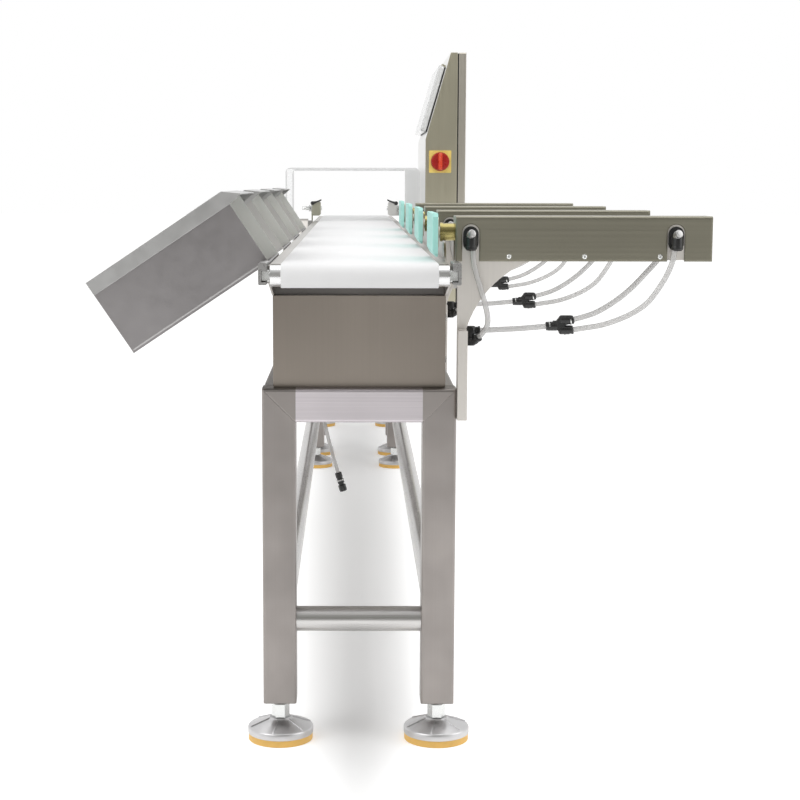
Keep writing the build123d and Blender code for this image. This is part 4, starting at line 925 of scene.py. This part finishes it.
@dataclass
class AirLines:
    """The clear hoses of the pusher stations and the supply hose, with its black coupling.

    The routes are in metres, from the belts' centre line, the station's middle and the floor, and
    the supply hose's from the front of the frame.
    """

    row: Row
    width: float = 8.0
    supply_width: float = 6.0

    FRONT_ROUTE = (
        (0.166, -0.0396, 0.746), (0.166, -0.0396, 0.731), (0.171, -0.0396, 0.710), (0.178, -0.0396, 0.688),
        (0.185, -0.0376, 0.665), (0.190, -0.0336, 0.643), (0.187, -0.0256, 0.627), (0.176, -0.016, 0.615),
    )
    REAR_ROUTE = (
        (0.4596, -0.0396, 0.746), (0.4596, -0.0396, 0.734), (0.4496, -0.0386, 0.708),
        (0.4376, -0.0366, 0.688), (0.4246, -0.0336, 0.669), (0.4066, -0.0296, 0.655),
        (0.3856, -0.0246, 0.644), (0.3596, -0.0176, 0.634), (0.3336, -0.0116, 0.6295),
        (0.316, -0.008, 0.6265),
    )
    BRANCH_ROUTE = (
        (0.4526, 0.006, 0.741), (0.4456, 0.006, 0.731), (0.4246, 0.005, 0.708), (0.4076, 0.003, 0.690),
        (0.3876, 0.0, 0.673), (0.3626, -0.003, 0.657), (0.3406, -0.006, 0.647), (0.316, -0.008, 0.6415),
    )
    TRUNK_ROUTE = (
        (0.280, -0.008, 0.632), (0.250, -0.008, 0.629), (0.218, -0.006, 0.627), (0.178, -0.003, 0.625),
    )
    SUPPLY_ROUTE = (
        (-0.060, 0.150, 0.541), (-0.060, 0.150, 0.515), (-0.057, 0.150, 0.485), (-0.050, 0.150, 0.452),
        (-0.041, 0.150, 0.418), (-0.032, 0.150, 0.388),
    )
    BARREL = [
        (0, -2), (4.6, -2), (5.4, -1), (5.5, 6), (4.7, 7), (4.7, 8.5), (5.4, 9), (5.4, 15.5), (4.3, 16.2),
        (4.3, 18), (6.0, 18.6), (6.2, 26), (5.6, 28.6), (3.4, 29), (3.2, 25), (0, 25),
    ]
    BAND = [(5.5, 9.4), (5.9, 9.6), (5.9, 11.6), (5.5, 11.8)]

    def placed(self, route: tuple[Point, ...], station: float = 0.0) -> list[Vector]:
        """A route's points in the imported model."""
        return [self.row.origin + Vector(p) + Vector((0, station * MM, 0)) for p in route]

    def hose(
        self, name: str, node: str, points: list[Vector], width: float
    ) -> tuple[bpy.types.Object, float]:
        """Makes one smooth hose along its points.

        Args:
            name: The hose's name.
            node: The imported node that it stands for.
            points: The control points of its line.
            width: Its diameter in millimetres.

        Returns:
            The hose and the length of its line, in metres.
        """
        data = bpy.data.curves.new(name, "CURVE")
        data.dimensions = "3D"
        data.resolution_u = 10
        data.use_fill_caps = True
        spline = data.splines.new("NURBS")
        spline.points.add(len(points) - 1)
        for place, point in zip(spline.points, points):
            place.co = (*point, 1.0)
        spline.order_u = 3
        spline.use_endpoint_u = True
        made = stood(name, data)
        line = bpy.data.meshes.new_from_object(made)
        places = [vertex.co.copy() for vertex in line.vertices]
        length = sum((after - before).length for before, after in zip(places, places[1:]))
        bpy.data.meshes.remove(line)
        data.bevel_depth = width / 2 * MM
        data.bevel_resolution = 5
        data.materials.append(HOSE.material())
        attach(made, "machine")
        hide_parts(node)
        log.info("made %s, %.0f mm long", name, length / MM)
        return made, length

    def coupling(self) -> bpy.types.Object:
        """Makes the quick coupling on the end of the supply hose.

        Returns:
            Its barrel.
        """
        points = self.placed(self.SUPPLY_ROUTE)
        way = points[-1] - points[-2]
        mould = Mould()
        mould.lathe(points[-1], way, self.BARREL, 28)
        made = mould.piece("supply_coupling", BLACK, Slot.BLACK, bevel=0.3, replaces=("hose_connectors",))
        collar = Mould()
        collar.lathe(points[-1], way, self.BAND, 28, loop=True)
        collar.piece("supply_coupling_band", ARM, Slot.POLISHED)
        return made

    def build(self) -> None:
        """Runs every hose."""
        kinds = (
            ("front_hose", "front_hoses", self.FRONT_ROUTE),
            ("rear_hose", "rear_hoses", self.REAR_ROUTE),
            ("branch_hose", "branch_hoses", self.BRANCH_ROUTE),
            ("trunk_hose", "trunk_hoses", self.TRUNK_ROUTE),
        )
        for number, station in enumerate(self.row.stations, start=1):
            for kind, node, route in kinds:
                points = self.placed(route, station)
                made, length = self.hose(f"{kind}_{number}", node, points, self.width)
        coupling = self.coupling()
        points = self.placed(self.SUPPLY_ROUTE)
        made, length = self.hose("supply_hose_1", "supply_hose", points, self.supply_width)


@dataclass
class AirFittings:
    """The black elbows, tees and joints of the air lines, with their bright flow screws."""

    row: Row
    lines: AirLines
    port_xs: Flat = (163.0, 463.6)
    elbow_y: float = -39.6
    elbow_z: float = 758.0
    barrel_drop: float = 12.0
    neck_y: float = -24.5
    neck_rise: float = 2.0
    shade_plate_y: float = -29.1
    shade_plate_rise: float = 4.0
    shade_plate_size: Flat = (22.6, 36.0)
    shade_plate_corner: float = 11.2
    shade_plate_depth: float = 2.2
    screw_at: Point = (-2.5, -2.0, 9.0)
    screw_way: Point = (0.30, -0.86, 0.34)
    tee_y: float = -8.0
    tee_left: float = 280.0
    tee_right: float = 316.0
    tee_z: float = 634.0
    tee_pitch: float = 15.0
    stub_inset: float = 0.5
    stub_drop: float = 2.0
    branch_length: float = 16.0
    knot_inset: float = 14.0
    knot_depth: float = 10.4
    joint: Flat = (166.0, 603.0)
    joint_stub: Flat = (157.6, 610.0)
    plug: Point = (456.6, 6.0, 744.8)

    BARREL = [
        (0, 0.6), (7.9, 0.6), (8.5, 1.4), (8.5, 4.6), (7.7, 5.4), (7.7, 18), (6.8, 22), (4.4, 23.8), (0, 24),
    ]
    NECK = [(0, 0), (6, 0), (6, 4), (7.6, 5), (7.6, 12), (9.4, 12.6), (9.4, 15), (0, 15)]
    RELEASE = [(4.1, -1), (7.0, -1), (7.0, 0.2), (6.4, 1.0), (4.1, 1.0)]
    COLLAR = [(0, -1.8), (4.1, -1.8), (4.1, -2.4), (6.0, -2.4), (6.6, -1.8), (6.6, 0.6), (5.8, 1.2)]
    RING = [(5.6, 2.0), (6.9, 2.0), (6.9, 3.6), (5.6, 3.6)]
    STUB = [(0, 0), (6.2, 0), (6.9, 0.8), (6.9, 13), (6.2, 14), (0, 14)]
    BRANCH = [(0, -3), (5.2, -3), (6.9, -0.5), (6.9, 14.5), (6.2, 15.4), (0, 15.4)]
    KNOT = [(-14, -6), (-9, -6), (-4, -12), (3, -12), (3, 12), (-4, 12), (-9, 6), (-14, 6)]
    PIPE = [(0, 0), (6.2, 0), (7, 1), (7, 12), (5.6, 13), (5.6, 16), (7, 17), (7, 27), (6, 29), (0, 29)]
    PLUG = [(0, 0), (6.4, 0), (7, 0.6), (7, 6), (0, 6)]

    def elbows(self) -> None:
        """Makes the push-in elbows: barrel, release ring and knurled flow screw, with a black plate behind
        each that paints the shade in the cover's slot.
        """
        bodies, rings, screws = Mould(), Mould(), Mould()
        knurled = [(0, 0), (5.2, 0), (5.2, 2.4)]
        for groove in range(4):
            height = 2.8 + groove * 2.0
            knurled += [(5.9, height), (5.9, height + 1.1), (5.1, height + 1.5)]
        knurled += [(4.6, 11.4), (2.4, 11.8), (0, 11.4)]
        outline = rounded(*self.shade_plate_size, self.shade_plate_corner, 8)
        aside, ahead, above = self.screw_at
        for station in self.row.stations:
            for x in self.port_xs:
                foot = self.row.spot(x, station + self.elbow_y, self.elbow_z - self.barrel_drop)
                bodies.lathe(foot, UP, self.BARREL, 28)
                neck = self.row.spot(x, station + self.neck_y, self.elbow_z + self.neck_rise)
                bodies.lathe(neck, FRONT, self.NECK, 28)
                # A black plate behind the elbow, shaped as the elbow's body, paints the shade in the cover's
                # slot.
                shade_plate = self.row.spot(x, station + self.shade_plate_y, self.elbow_z + self.shade_plate_rise)
                bodies.prism(Board(shade_plate), outline, self.shade_plate_depth)
                rings.lathe(foot, -UP, self.RELEASE, 28, loop=True)
                start = self.row.spot(x + aside, station + self.elbow_y + ahead, self.elbow_z + above)
                screws.lathe(start, Vector(self.screw_way), knurled)
        bodies.piece("elbow_bodies", BLACK, Slot.BLACK, bevel=0.4, replaces=("port_elbows",))
        rings.piece("release_rings", RUBBER, Slot.BLACK, bevel=0.2)
        screws.piece("flow_screws", KNURL, Slot.POLISHED, smooth=25)

    def unions(self) -> None:
        """Makes the tees below the covers and the joints at the gussets."""
        mould, bands = Mould(), Mould()
        left, right = self.tee_left + self.stub_inset, self.tee_right - self.branch_length
        ends = (
            (AirLines.REAR_ROUTE, -1, 12.0, True),
            (AirLines.BRANCH_ROUTE, -1, 12.0, True),
            (AirLines.TRUNK_ROUTE, 0, 12.0, True),
            (AirLines.TRUNK_ROUTE, -1, 9.0, False),
            (AirLines.FRONT_ROUTE, -1, 9.0, False),
            (AirLines.BRANCH_ROUTE, 0, 5.0, False),
        )
        for station in self.row.stations:
            for route, at, length, ringed in ends:
                points = self.lines.placed(route, station)
                way = points[at] - points[1 if at == 0 else -2]
                mould.lathe(points[at], way, self.COLLAR + [(5.8, length), (0, length)])
                if ringed:
                    bands.lathe(points[at], way, self.RING, loop=True)
            y = station + self.tee_y
            mould.lathe(self.row.spot(left, y, self.tee_z - self.stub_drop), SIDE, self.STUB)
            for rise in (-self.tee_pitch / 2, self.tee_pitch / 2):
                mould.lathe(self.row.spot(right, y, self.tee_z + rise), SIDE, self.BRANCH)
            knot = self.row.spot(self.tee_right - self.knot_inset, y - self.knot_depth / 2, self.tee_z)
            mould.prism(Board(knot), self.KNOT, -self.knot_depth)
            mould.lathe(self.row.spot(self.joint[0], y, self.joint[1]), UP, self.PIPE)
            stub = self.row.spot(self.joint_stub[0], y, self.joint_stub[1])
            mould.lathe(stub, SIDE, [(0, 0), (5, 0), (5, 8), (0, 8)], 20)
            mould.lathe(self.row.spot(self.plug[0], station + self.plug[1], self.plug[2]), UP, self.PLUG)
        mould.piece("air_unions", BLACK, Slot.BLACK, bevel=0.3, replaces=("hose_connectors",))
        bands.piece("union_rings", ZINC, Slot.POLISHED)

    def build(self) -> None:
        """Makes all the fittings."""
        self.elbows()
        self.unions()


@dataclass
class Stand:
    """Both frames with their feet."""

    row: Row
    tube_half: float = 25.0
    ring_radius: float = 49.0
    sorter_length: float = 2500.0
    frame_gap: float = 178.0
    rib_count: int = 6
    rib_turn: float = 18.0
    rib_thickness: float = 2.2
    thread_turns: int = 7
    thread_pitch: float = 2.0
    thread_start: float = 46.3
    nut_radius: float = 13.8
    nut_z: float = 34.2
    nut_height: float = 21.0

    CONE = [
        (0, 10.1), (49.4, 10.1), (50, 10.7), (50, 18.2), (49.3, 20.0), (47.8, 21.3), (20.6, 31.0),
        (18.4, 32.2), (17.2, 33.2), (16.4, 34), (8.4, 34), (8.4, 18.4), (0, 18.4),
    ]
    RIB = [(17.5, 31.2), (17.5, 33.4), (21, 32.3), (46.8, 23.1), (48, 21.2), (47, 20)]

    def leg_spots(self) -> list[Flat]:
        """Finds the legs' centres, from the foot rings' box and the frames' lengths.

        Returns:
            Their X and Y in the part's millimetres.
        """
        low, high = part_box("foot_rings")
        half = (high.x - low.x) / 2 / MM - self.ring_radius
        legs_low, legs_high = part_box("frame_legs")
        length = (legs_high.y - legs_low.y) / MM
        frames = ((0, self.sorter_length), (self.sorter_length + self.frame_gap, length))
        ys = [y for start, end in frames for y in (start + self.tube_half, end - self.tube_half)]
        return [(side * half, y) for y in ys for side in (-1, 1)]

    def feet(self) -> None:
        """Makes ribbed cast pads with bright studs."""
        pads, studs = Mould(), Mould()
        thread = [(0, 46.2)]
        for turn in range(self.thread_turns):
            root = self.thread_start + self.thread_pitch * turn
            thread += [(7.2, root), (7.9, root + self.thread_pitch / 2)]
        thread += [(7.2, 60.4), (7.2, 66), (7.9, 67), (7.9, 106), (7, 107), (0, 107)]
        for x, y in self.leg_spots():
            base = self.row.spot(x, y, 0)
            pads.lathe(base, UP, self.CONE, 56)
            for rib in range(self.rib_count):
                angle = math.radians(self.rib_turn + 360 / self.rib_count * rib)
                way = Vector((math.cos(angle), math.sin(angle), 0))
                across = Vector((-way.y, way.x, 0))
                board = Board(base + across * self.rib_thickness / 2 * MM, way, -across)
                pads.prism(board, self.RIB, self.rib_thickness)
            hexagon = Board(self.row.spot(x, y, self.nut_z), SIDE, UP)
            studs.prism(hexagon, polygon(self.nut_radius, 6), self.nut_height)
            studs.lathe(base, UP, thread, 28)
            studs.lathe(base, UP, [(0, 18.6), (7.9, 18.6), (7.9, 34.1), (0, 34.1)])
        pads.piece("cast_foot_pads", CAST, Slot.FOOT, replaces=("foot_pads",), smooth=40)
        studs.piece("foot_stud_bodies", ZINC, Slot.FRAME, bevel=0.5, replaces=("foot_studs",), smooth=30)

    def build(self) -> None:
        """Dresses the tubes and makes the feet."""
        self.row.dress(TUBE_Z, "frame_legs")
        self.row.dress(TUBE_X, "cross_rails", "cabinet_brackets")
        self.row.dress(TUBE_Y, "side_rails")
        self.row.dress(POLISHED, "stretchers")
        self.row.dress(ORANGE, "foot_rings")
        self.feet()


@dataclass
class Conveyors:
    """Belts, rollers, cheeks, beds, arms and the housing below the sorting belt."""

    row: Row
    roller_radius: float = 15.3
    belt_thickness: float = 1.7
    belt_edge: float = 0.4
    half_width: float = 110.0
    turn_steps: int = 24
    plate: float = 2.0
    plate_corner: float = 3.0
    strip_width: float = 251.8
    strip_height: float = 16.0
    strip_inset: float = 6.0
    strip_corner: float = 0.5

    def band(self, name: str, front: float, back: float, height: float) -> None:
        """Makes one endless belt with soft edges.

        Args:
            name: The belt's name.
            front: The front roller's Y.
            back: The rear roller's Y.
            height: The rollers' Z.
        """
        half, soft = self.half_width, self.belt_edge
        section = [(-half, soft), (-half + soft, 0), (half - soft, 0), (half, soft)]
        section += [(x, self.belt_thickness - rise) for x, rise in reversed(section)]
        angles = [180 * i / self.turn_steps for i in range(self.turn_steps + 1)]
        rings = []
        for y, angle in [(back, 90 - a) for a in angles] + [(front, -90 - a) for a in angles]:
            a = math.radians(angle)
            ring = []
            for x, rise in section:
                reach = self.roller_radius + rise
                ring.append(self.row.spot(x, y + reach * math.cos(a), height + reach * math.sin(a)))
            rings.append(ring)
        mould = Mould()
        mould.sections(rings, loop=True)
        mould.piece(name, BELT, Slot.BELT, replaces=("conveyor_belts",), smooth=50)

    def ends(self) -> None:
        """Makes the housing's end covers, and the dark strips between its roof and the belt, which paint the
        shade of the gap there.
        """
        low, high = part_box("body_shell")
        width, top = (high.x - low.x) / MM, high.z / MM
        height = top - low.z / MM
        covers, strips = Mould(), Mould()
        for y, way in (((low.y - self.row.origin.y) / MM, -1), ((high.y - self.row.origin.y) / MM, 1)):
            right, out = -way * SIDE, way * ALONG
            board = Board(self.row.spot(0, y, top - height / 2), right, out)
            covers.prism(board, rounded(width, height, self.plate_corner), self.plate)
            # A dark strip below the belt paints the shade between the housing's roof and the belt.
            inner, middle = y - way * self.strip_inset, top + self.strip_height / 2
            board = Board(self.row.spot(0, inner, middle), right, out)
            outline = rounded(self.strip_width, self.strip_height, self.strip_corner, 2)
            strips.prism(board, outline, self.plate)
        covers.piece("housing_end_covers", SHEET_X, Slot.SHEET, bevel=0.5, replaces=("body_end_covers",))
        strips.piece("housing_painted_shade_strips", PAINTED_SHADE_STEEL, Slot.SHEET)

    def build(self) -> None:
        """Dresses the conveyors and makes their belts."""
        belts = (
            ("sorting_belt", "head_roller", "tail_roller"),
            ("weighing_belt", "weigh_roller_front", "weigh_roller_rear"),
            ("infeed_belt", "infeed_roller_front", "infeed_roller_rear"),
        )
        self.row.dress(SHEET_Y, "body_shell", "side_plates", "slider_beds", "weigh_pedestals")
        self.row.dress(ARM, "nose_arms")
        self.row.dress(ZINC, "roller_shafts")
        self.row.dress(SILVER, "roller_bearings", "valve_block", "load_cell")
        self.ends()
        for name, *rollers in belts:
            self.row.dress(SILVER, *rollers)
            boxes = [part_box(roller) for roller in rollers]
            front, back = [(low + high) / 2 - self.row.origin for low, high in boxes]
            self.band(name, front.y / MM, back.y / MM, front.z / MM)


@dataclass
class Drive:
    """The sorting belt's motor, timing belt and guard."""

    row: Row

    def build(self) -> None:
        """Dresses the drive."""
        self.row.dress(MOTOR, "drive_motor")
        self.row.dress(SILVER, "motor_pulley")
        self.row.dress(RUBBER, "timing_belt")
        self.row.dress(SHEET_Y, "drive_guard")


@dataclass
class Pushers:
    """The pusher stations: covers, cylinders, bushes, gussets, rods and pads."""

    row: Row
    axis_z: float = 771.0
    pad_face: float = 104.0
    pad_thickness: float = 8.0
    pad_bottom: float = 738.0
    pad_half_height: float = 31.0
    inset_reach: float = 60.0
    cut_height: float = 9.0
    cut_depth: float = 5.0
    seat_gap: float = 0.1
    plate_size: Flat = (60.0, 44.0)
    plate_corner: float = 6.0
    plate_thickness: float = 4.0
    screw_half_pitch: float = 22.0
    piston_x: float = 421.6

    PAD = [(-90, 9), (-90, 5), (-85, 0), (85, 0), (90, 5), (90, 9), (90, 57), (85, 62), (-85, 62), (-90, 57)]
    PAD_LAYERS = ((0.8, 0.0), (0.0, 0.8), (0.0, 7.5), (0.5, 8.0))
    HEAD = [(0, 0), (4.5, 0), (4.3, 1.4), (3, 2.2), (0, 2.2)]
    PISTON = [
        (0, 0), (15, 0), (15.9, 1), (15.9, 4), (14.6, 4.4), (14.6, 8), (15.9, 8.4), (15.9, 19), (15, 19.8),
        (0, 19.8),
    ]

    def pad_point(self, u: float, v: float, inset: float, x: float, station: float) -> Vector:
        """Finds a point of the pad, whose lower edge is cut back on the belt's side.

        Args:
            u: Along the outline's length, in millimetres from its middle.
            v: Up from the pad's bottom.
            inset: How far the edge is drawn in there.
            x: The depth behind the pad's face.
            station: The station's Y.

        Returns:
            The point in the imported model.
        """
        shrink = 1 - inset / self.inset_reach
        cut = max(0.0, (self.cut_height - v) / self.cut_height) * self.cut_depth
        rise = self.pad_bottom + self.pad_half_height + (v - self.pad_half_height) * shrink
        return self.row.spot(self.pad_face + max(x, cut), station + u * shrink, rise)

    def moving(self, number: int, station: float) -> None:
        """Makes one pusher's pad, backing plate, rod and piston.

        Args:
            number: The pusher's number.
            station: Its station's Y.
        """
        body = f"pusher_{number}"
        pad, plate, rod, piston = Mould(), Mould(), Mould(), Mould()
        pad.sections([
            [self.pad_point(u, v, inset, x, station) for u, v in self.PAD] for inset, x in self.PAD_LAYERS
        ])
        pad.piece(f"pusher_pad_{number}", TEAL, Slot.PAD, body, replaces=(body,), smooth=30)
        face = self.pad_face + self.pad_thickness + self.seat_gap
        back = face + self.plate_thickness
        board = Board(self.row.spot(face, station, self.axis_z), ALONG, SIDE)
        plate.prism(board, rounded(*self.plate_size, self.plate_corner), self.plate_thickness)
        for u in (-self.screw_half_pitch, self.screw_half_pitch):
            plate.lathe(self.row.spot(back, station + u, self.axis_z), SIDE, self.HEAD, 20)
        plate.piece(f"pusher_plate_{number}", SHEET_Z, Slot.SHEET, body, bevel=0.4)
        length = self.piston_x - back
        profile = [(0, 0), (8, 0), (8, 2.2), (6, 2.6), (6, length), (0, length)]
        rod.lathe(self.row.spot(back, station, self.axis_z), SIDE, profile, 28)
        rod.piece(f"pusher_rod_{number}", POLISHED, Slot.POLISHED, body)
        start = self.row.spot(self.piston_x + self.seat_gap, station, self.axis_z)
        piston.lathe(start, SIDE, self.PISTON, 32)
        piston.piece(f"pusher_piston_{number}", SILVER, Slot.ALUMINIUM, body)

    def build(self) -> None:
        """Dresses the stations and makes what moves."""
        self.row.dress(COVER, "pusher_covers")
        self.row.dress(SILVER, "pusher_cylinders")
        self.row.dress(BRASS, "rod_bushes")
        self.row.dress(GUSSET, "gusset_plates")
        for number, station in enumerate(self.row.stations, start=1):
            self.moving(number, station)


@dataclass
class Fasteners:
    """Button heads on the covers and hexagon bolts on the housing."""

    row: Row
    head_xs: tuple[float, ...] = (219.0, 330.0, 441.0)
    head_y: float = -30.6
    head_z: float = 736.0
    bolt_x: float = 128.0
    bolt_y: float = 60.0
    bolt_zs: Flat = (575.25, 640.0)
    washer: float = 1.2
    washer_radius: float = 7.4
    bolt_radius: float = 6.0
    bolt_head: float = 4.6

    HEAD = [(0, 0), (4, 0), (3.9, 0.6), (3.2, 1.5), (2.2, 2.0), (1.9, 2.0), (1.9, 0.9), (0, 0.9)]

    def build(self) -> None:
        """Makes the screws."""
        heads = Mould()
        washer = [(0, 0), (self.washer_radius, 0), (self.washer_radius, self.washer), (0, self.washer)]
        for station in self.row.stations:
            for x in self.head_xs:
                heads.lathe(self.row.spot(x, station + self.head_y, self.head_z), FRONT, self.HEAD)
            for z in self.bolt_zs:
                y = station + self.bolt_y
                heads.lathe(self.row.spot(self.bolt_x, y, z), SIDE, washer)
                board = Board(self.row.spot(self.bolt_x + self.washer, y, z), ALONG, SIDE)
                heads.prism(board, polygon(self.bolt_radius, 6), self.bolt_head)
        heads.piece("screw_heads", ZINC, Slot.POLISHED, bevel=0.25, replaces=("machine_screws",), smooth=25)


@dataclass
class Chutes:
    """The four enclosed chutes."""

    row: Row
    angle: float = 33.8
    length: float = 234.0
    sheet: float = 1.5
    floor_z: float = 731.0
    sheen_top: float = -1.6
    sheen_bottom: float = -3.8
    sheen_inset: float = 2.0
    sheen_depth: float = 0.7

    def sheen_strips(self) -> None:
        """Makes a thin light strip along the lower edge of each duct's near wall, a painted sheen where the
        duct's floor catches the light.
        """
        low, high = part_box("chute_ducts")
        slope = math.radians(self.angle)
        down = Vector((-math.cos(slope), 0, -math.sin(slope)))
        inlet_x = (high.x - self.row.origin.x) / MM - self.sheet
        front = (low.y - self.row.origin.y) / MM
        start, end, top, bottom = self.sheen_inset, self.length - self.sheen_inset, self.sheen_top, self.sheen_bottom
        outline = [(start, top), (end, top), (end, bottom), (start, bottom)]
        mould = Mould()
        for station in self.row.stations:
            y = front + station - self.row.stations[0]
            mould.prism(Board(self.row.spot(inlet_x, y, self.floor_z), down), outline, self.sheen_depth)
        mould.piece("chute_sheen_strips", PAINTED_SHEEN_STEEL, Slot.SHEET, bevel=0.2)

    def build(self) -> None:
        """Dresses the chutes and makes their painted sheen strips."""
        self.row.dress(CHUTE, "chute_ducts")
        self.row.dress(HOOD, "chute_hoods")
        self.sheen_strips()


@dataclass
class WeighSection:
    """The clear draft shield and the clamped photo eyes."""

    row: Row
    hub_radius: float = 6.0
    lever_front: float = 10.5
    lever_lean: float = 1.0
    lever_reach: float = 26.2
    lever_rise: float = 9.8
    lever_curve: float = 0.3
    lever_tall: Flat = (3.4, 2.2)
    lever_deep: Flat = (3.0, 2.4)
    lever_tip: float = 0.56
    lever_steps: int = 8
    eye_xs: Flat = (-102.0, 92.0)
    eye_y: float = 2535.0
    eye_z: float = 768.0
    thread_turns: int = 26
    thread_pitch: float = 1.8
    thread_start: float = 1.2
    nut_spots: Flat = (29.2, 34.2)
    nut_radius: float = 9.8
    nut_height: float = 3.6

    HUB = [(0, 0), (5, 0), (5.8, 3), (6, 8), (5.4, 13), (3, 14), (0, 14)]

    def lever_section(self, hub: Vector, side: int, step: int) -> list[Vector]:
        """Draws one section of a lever's arm, which rises from its hub and ends in a thicker tip.

        Args:
            hub: The hub's foot, in metres.
            side: -1 for the left lever and 1 for the right one.
            step: The section's number, from 0 at the hub.

        Returns:
            The section's points.
        """
        along = step / self.lever_steps
        reach = -side * self.lever_reach * along
        rise = self.lever_rise * along * (1 - self.lever_curve + self.lever_curve * along)
        centre = hub + Vector((reach, self.lever_lean * along - self.lever_front, rise)) * MM
        tall, deep = [start + (end - start) * along for start, end in (self.lever_tall, self.lever_deep)]
        if step == self.lever_steps:
            tall += self.lever_tip
        return [centre + Vector((0, y * deep, z * tall)) * MM for y, z in polygon(1.0, 12)]

    def levers(self) -> None:
        """Makes the two ratchet levers."""
        for side, name in ((-1, "clamp_lever_left"), (1, "clamp_lever_right")):
            low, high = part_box(name)
            inset = self.hub_radius * MM
            hub = Vector((low.x + inset if side < 0 else high.x - inset, high.y, low.z + inset))
            mould = Mould()
            mould.lathe(hub, FRONT, self.HUB)
            mould.sections([self.lever_section(hub, side, step) for step in range(self.lever_steps + 1)])
            mould.piece(f"{name}_body", BLACK, Slot.ZINC, name, replaces=(name,), smooth=60)

    def eyes(self) -> None:
        """Makes the threaded barrels with their nuts and lenses."""
        profile = [(0, 0.6), (4.6, 0.6), (4.9, 0), (5.8, 0)]
        for turn in range(self.thread_turns):
            crest = self.thread_start + self.thread_pitch * turn
            profile += [(6.0, crest), (5.6, crest + self.thread_pitch / 2)]
        profile += [(5.6, 49), (5.6, 56.5), (4.8, 58), (0, 58)]
        mould = Mould()
        for x, way in zip(self.eye_xs, (-SIDE, SIDE)):
            start = self.row.spot(x, self.eye_y, self.eye_z)
            mould.lathe(start, way, profile)
            for at in self.nut_spots:
                board = Board(start + way * at * MM, ALONG, way)
                mould.prism(board, polygon(self.nut_radius, 6, 30), self.nut_height)
        mould.piece("photo_eye_barrels", ZINC, Slot.POLISHED, replaces=("photo_eyes",), smooth=30)

    def build(self) -> None:
        """Dresses the weighing section."""
        self.row.dress(SHIELD, "draft_shield")
        self.row.dress(BLOCK, "clamp_blocks")
        self.levers()
        self.eyes()


@dataclass
class Cabinet:
    """The control cabinet with its door, screen, cover and switch."""

    row: Row
    switch: Point = (246.0, 2465.7, 905.0)

    DIAL = [(0, 0), (27.4, 0), (27.4, 2), (26.4, 9), (24.6, 11.6), (22, 12), (0, 12)]
    SPINDLE = [(0, 0), (4, 0), (4, 15.8), (0, 15.8)]
    HANDLE = ((11.8, 25, 6.5), (18, 24.4, 5.6), (24, 23.4, 5.0), (26, 21.6, 3.8))

    def knob(self) -> None:
        """Makes the dial and its upright handle."""
        base = self.row.spot(*self.switch)
        dial, handle = Mould(), Mould()
        dial.lathe(base, FRONT, self.DIAL, 56)
        dial.lathe(base, -FRONT, self.SPINDLE, 20)
        dial.piece("switch_dial", RED, Slot.RED, "switch_knob", replaces=("switch_knob",))
        rings = []
        for height, half_long, half_wide in self.HANDLE:
            frame = Board(base + FRONT * height * MM).matrix()
            outline = rounded(2 * half_wide, 2 * half_long, half_wide * 0.9, 4)
            rings.append([frame @ (Vector((u, v, 0)) * MM) for u, v in outline])
        handle.sections(rings)
        handle.piece("switch_handle", BRIGHT_RED, Slot.RED, "switch_knob", smooth=50)

    def build(self) -> None:
        """Dresses the cabinet."""
        self.row.dress(SHELL, "cabinet_shell")
        self.row.dress(DOOR, "cabinet_door")
        self.row.dress(RUBBER, "cabinet_gaskets")
        self.row.dress(SCREEN, "hmi_screen")
        self.row.dress(LID, "screen_cover")
        self.row.dress(YELLOW, "switch_plate")
        self.row.dress(DEVICE, "mounting_panel")
        self.knob()


def main() -> None:
    """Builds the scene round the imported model."""
    logging.basicConfig(level=logging.INFO, format="%(name)s: %(message)s")
    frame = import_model()
    row = Row(frame)
    Studio(row).build()
    lines = AirLines(row)
    lines.build()
    assemblies = (
        AirFittings(row, lines), Stand(row), Conveyors(row), Drive(row), Pushers(row),
        Fasteners(row), Chutes(row), WeighSection(row), Cabinet(row),
    )
    for assembly in assemblies:
        assembly.build()
        log.info("built %s", type(assembly).__name__)


if __name__ == "__main__":
    main()
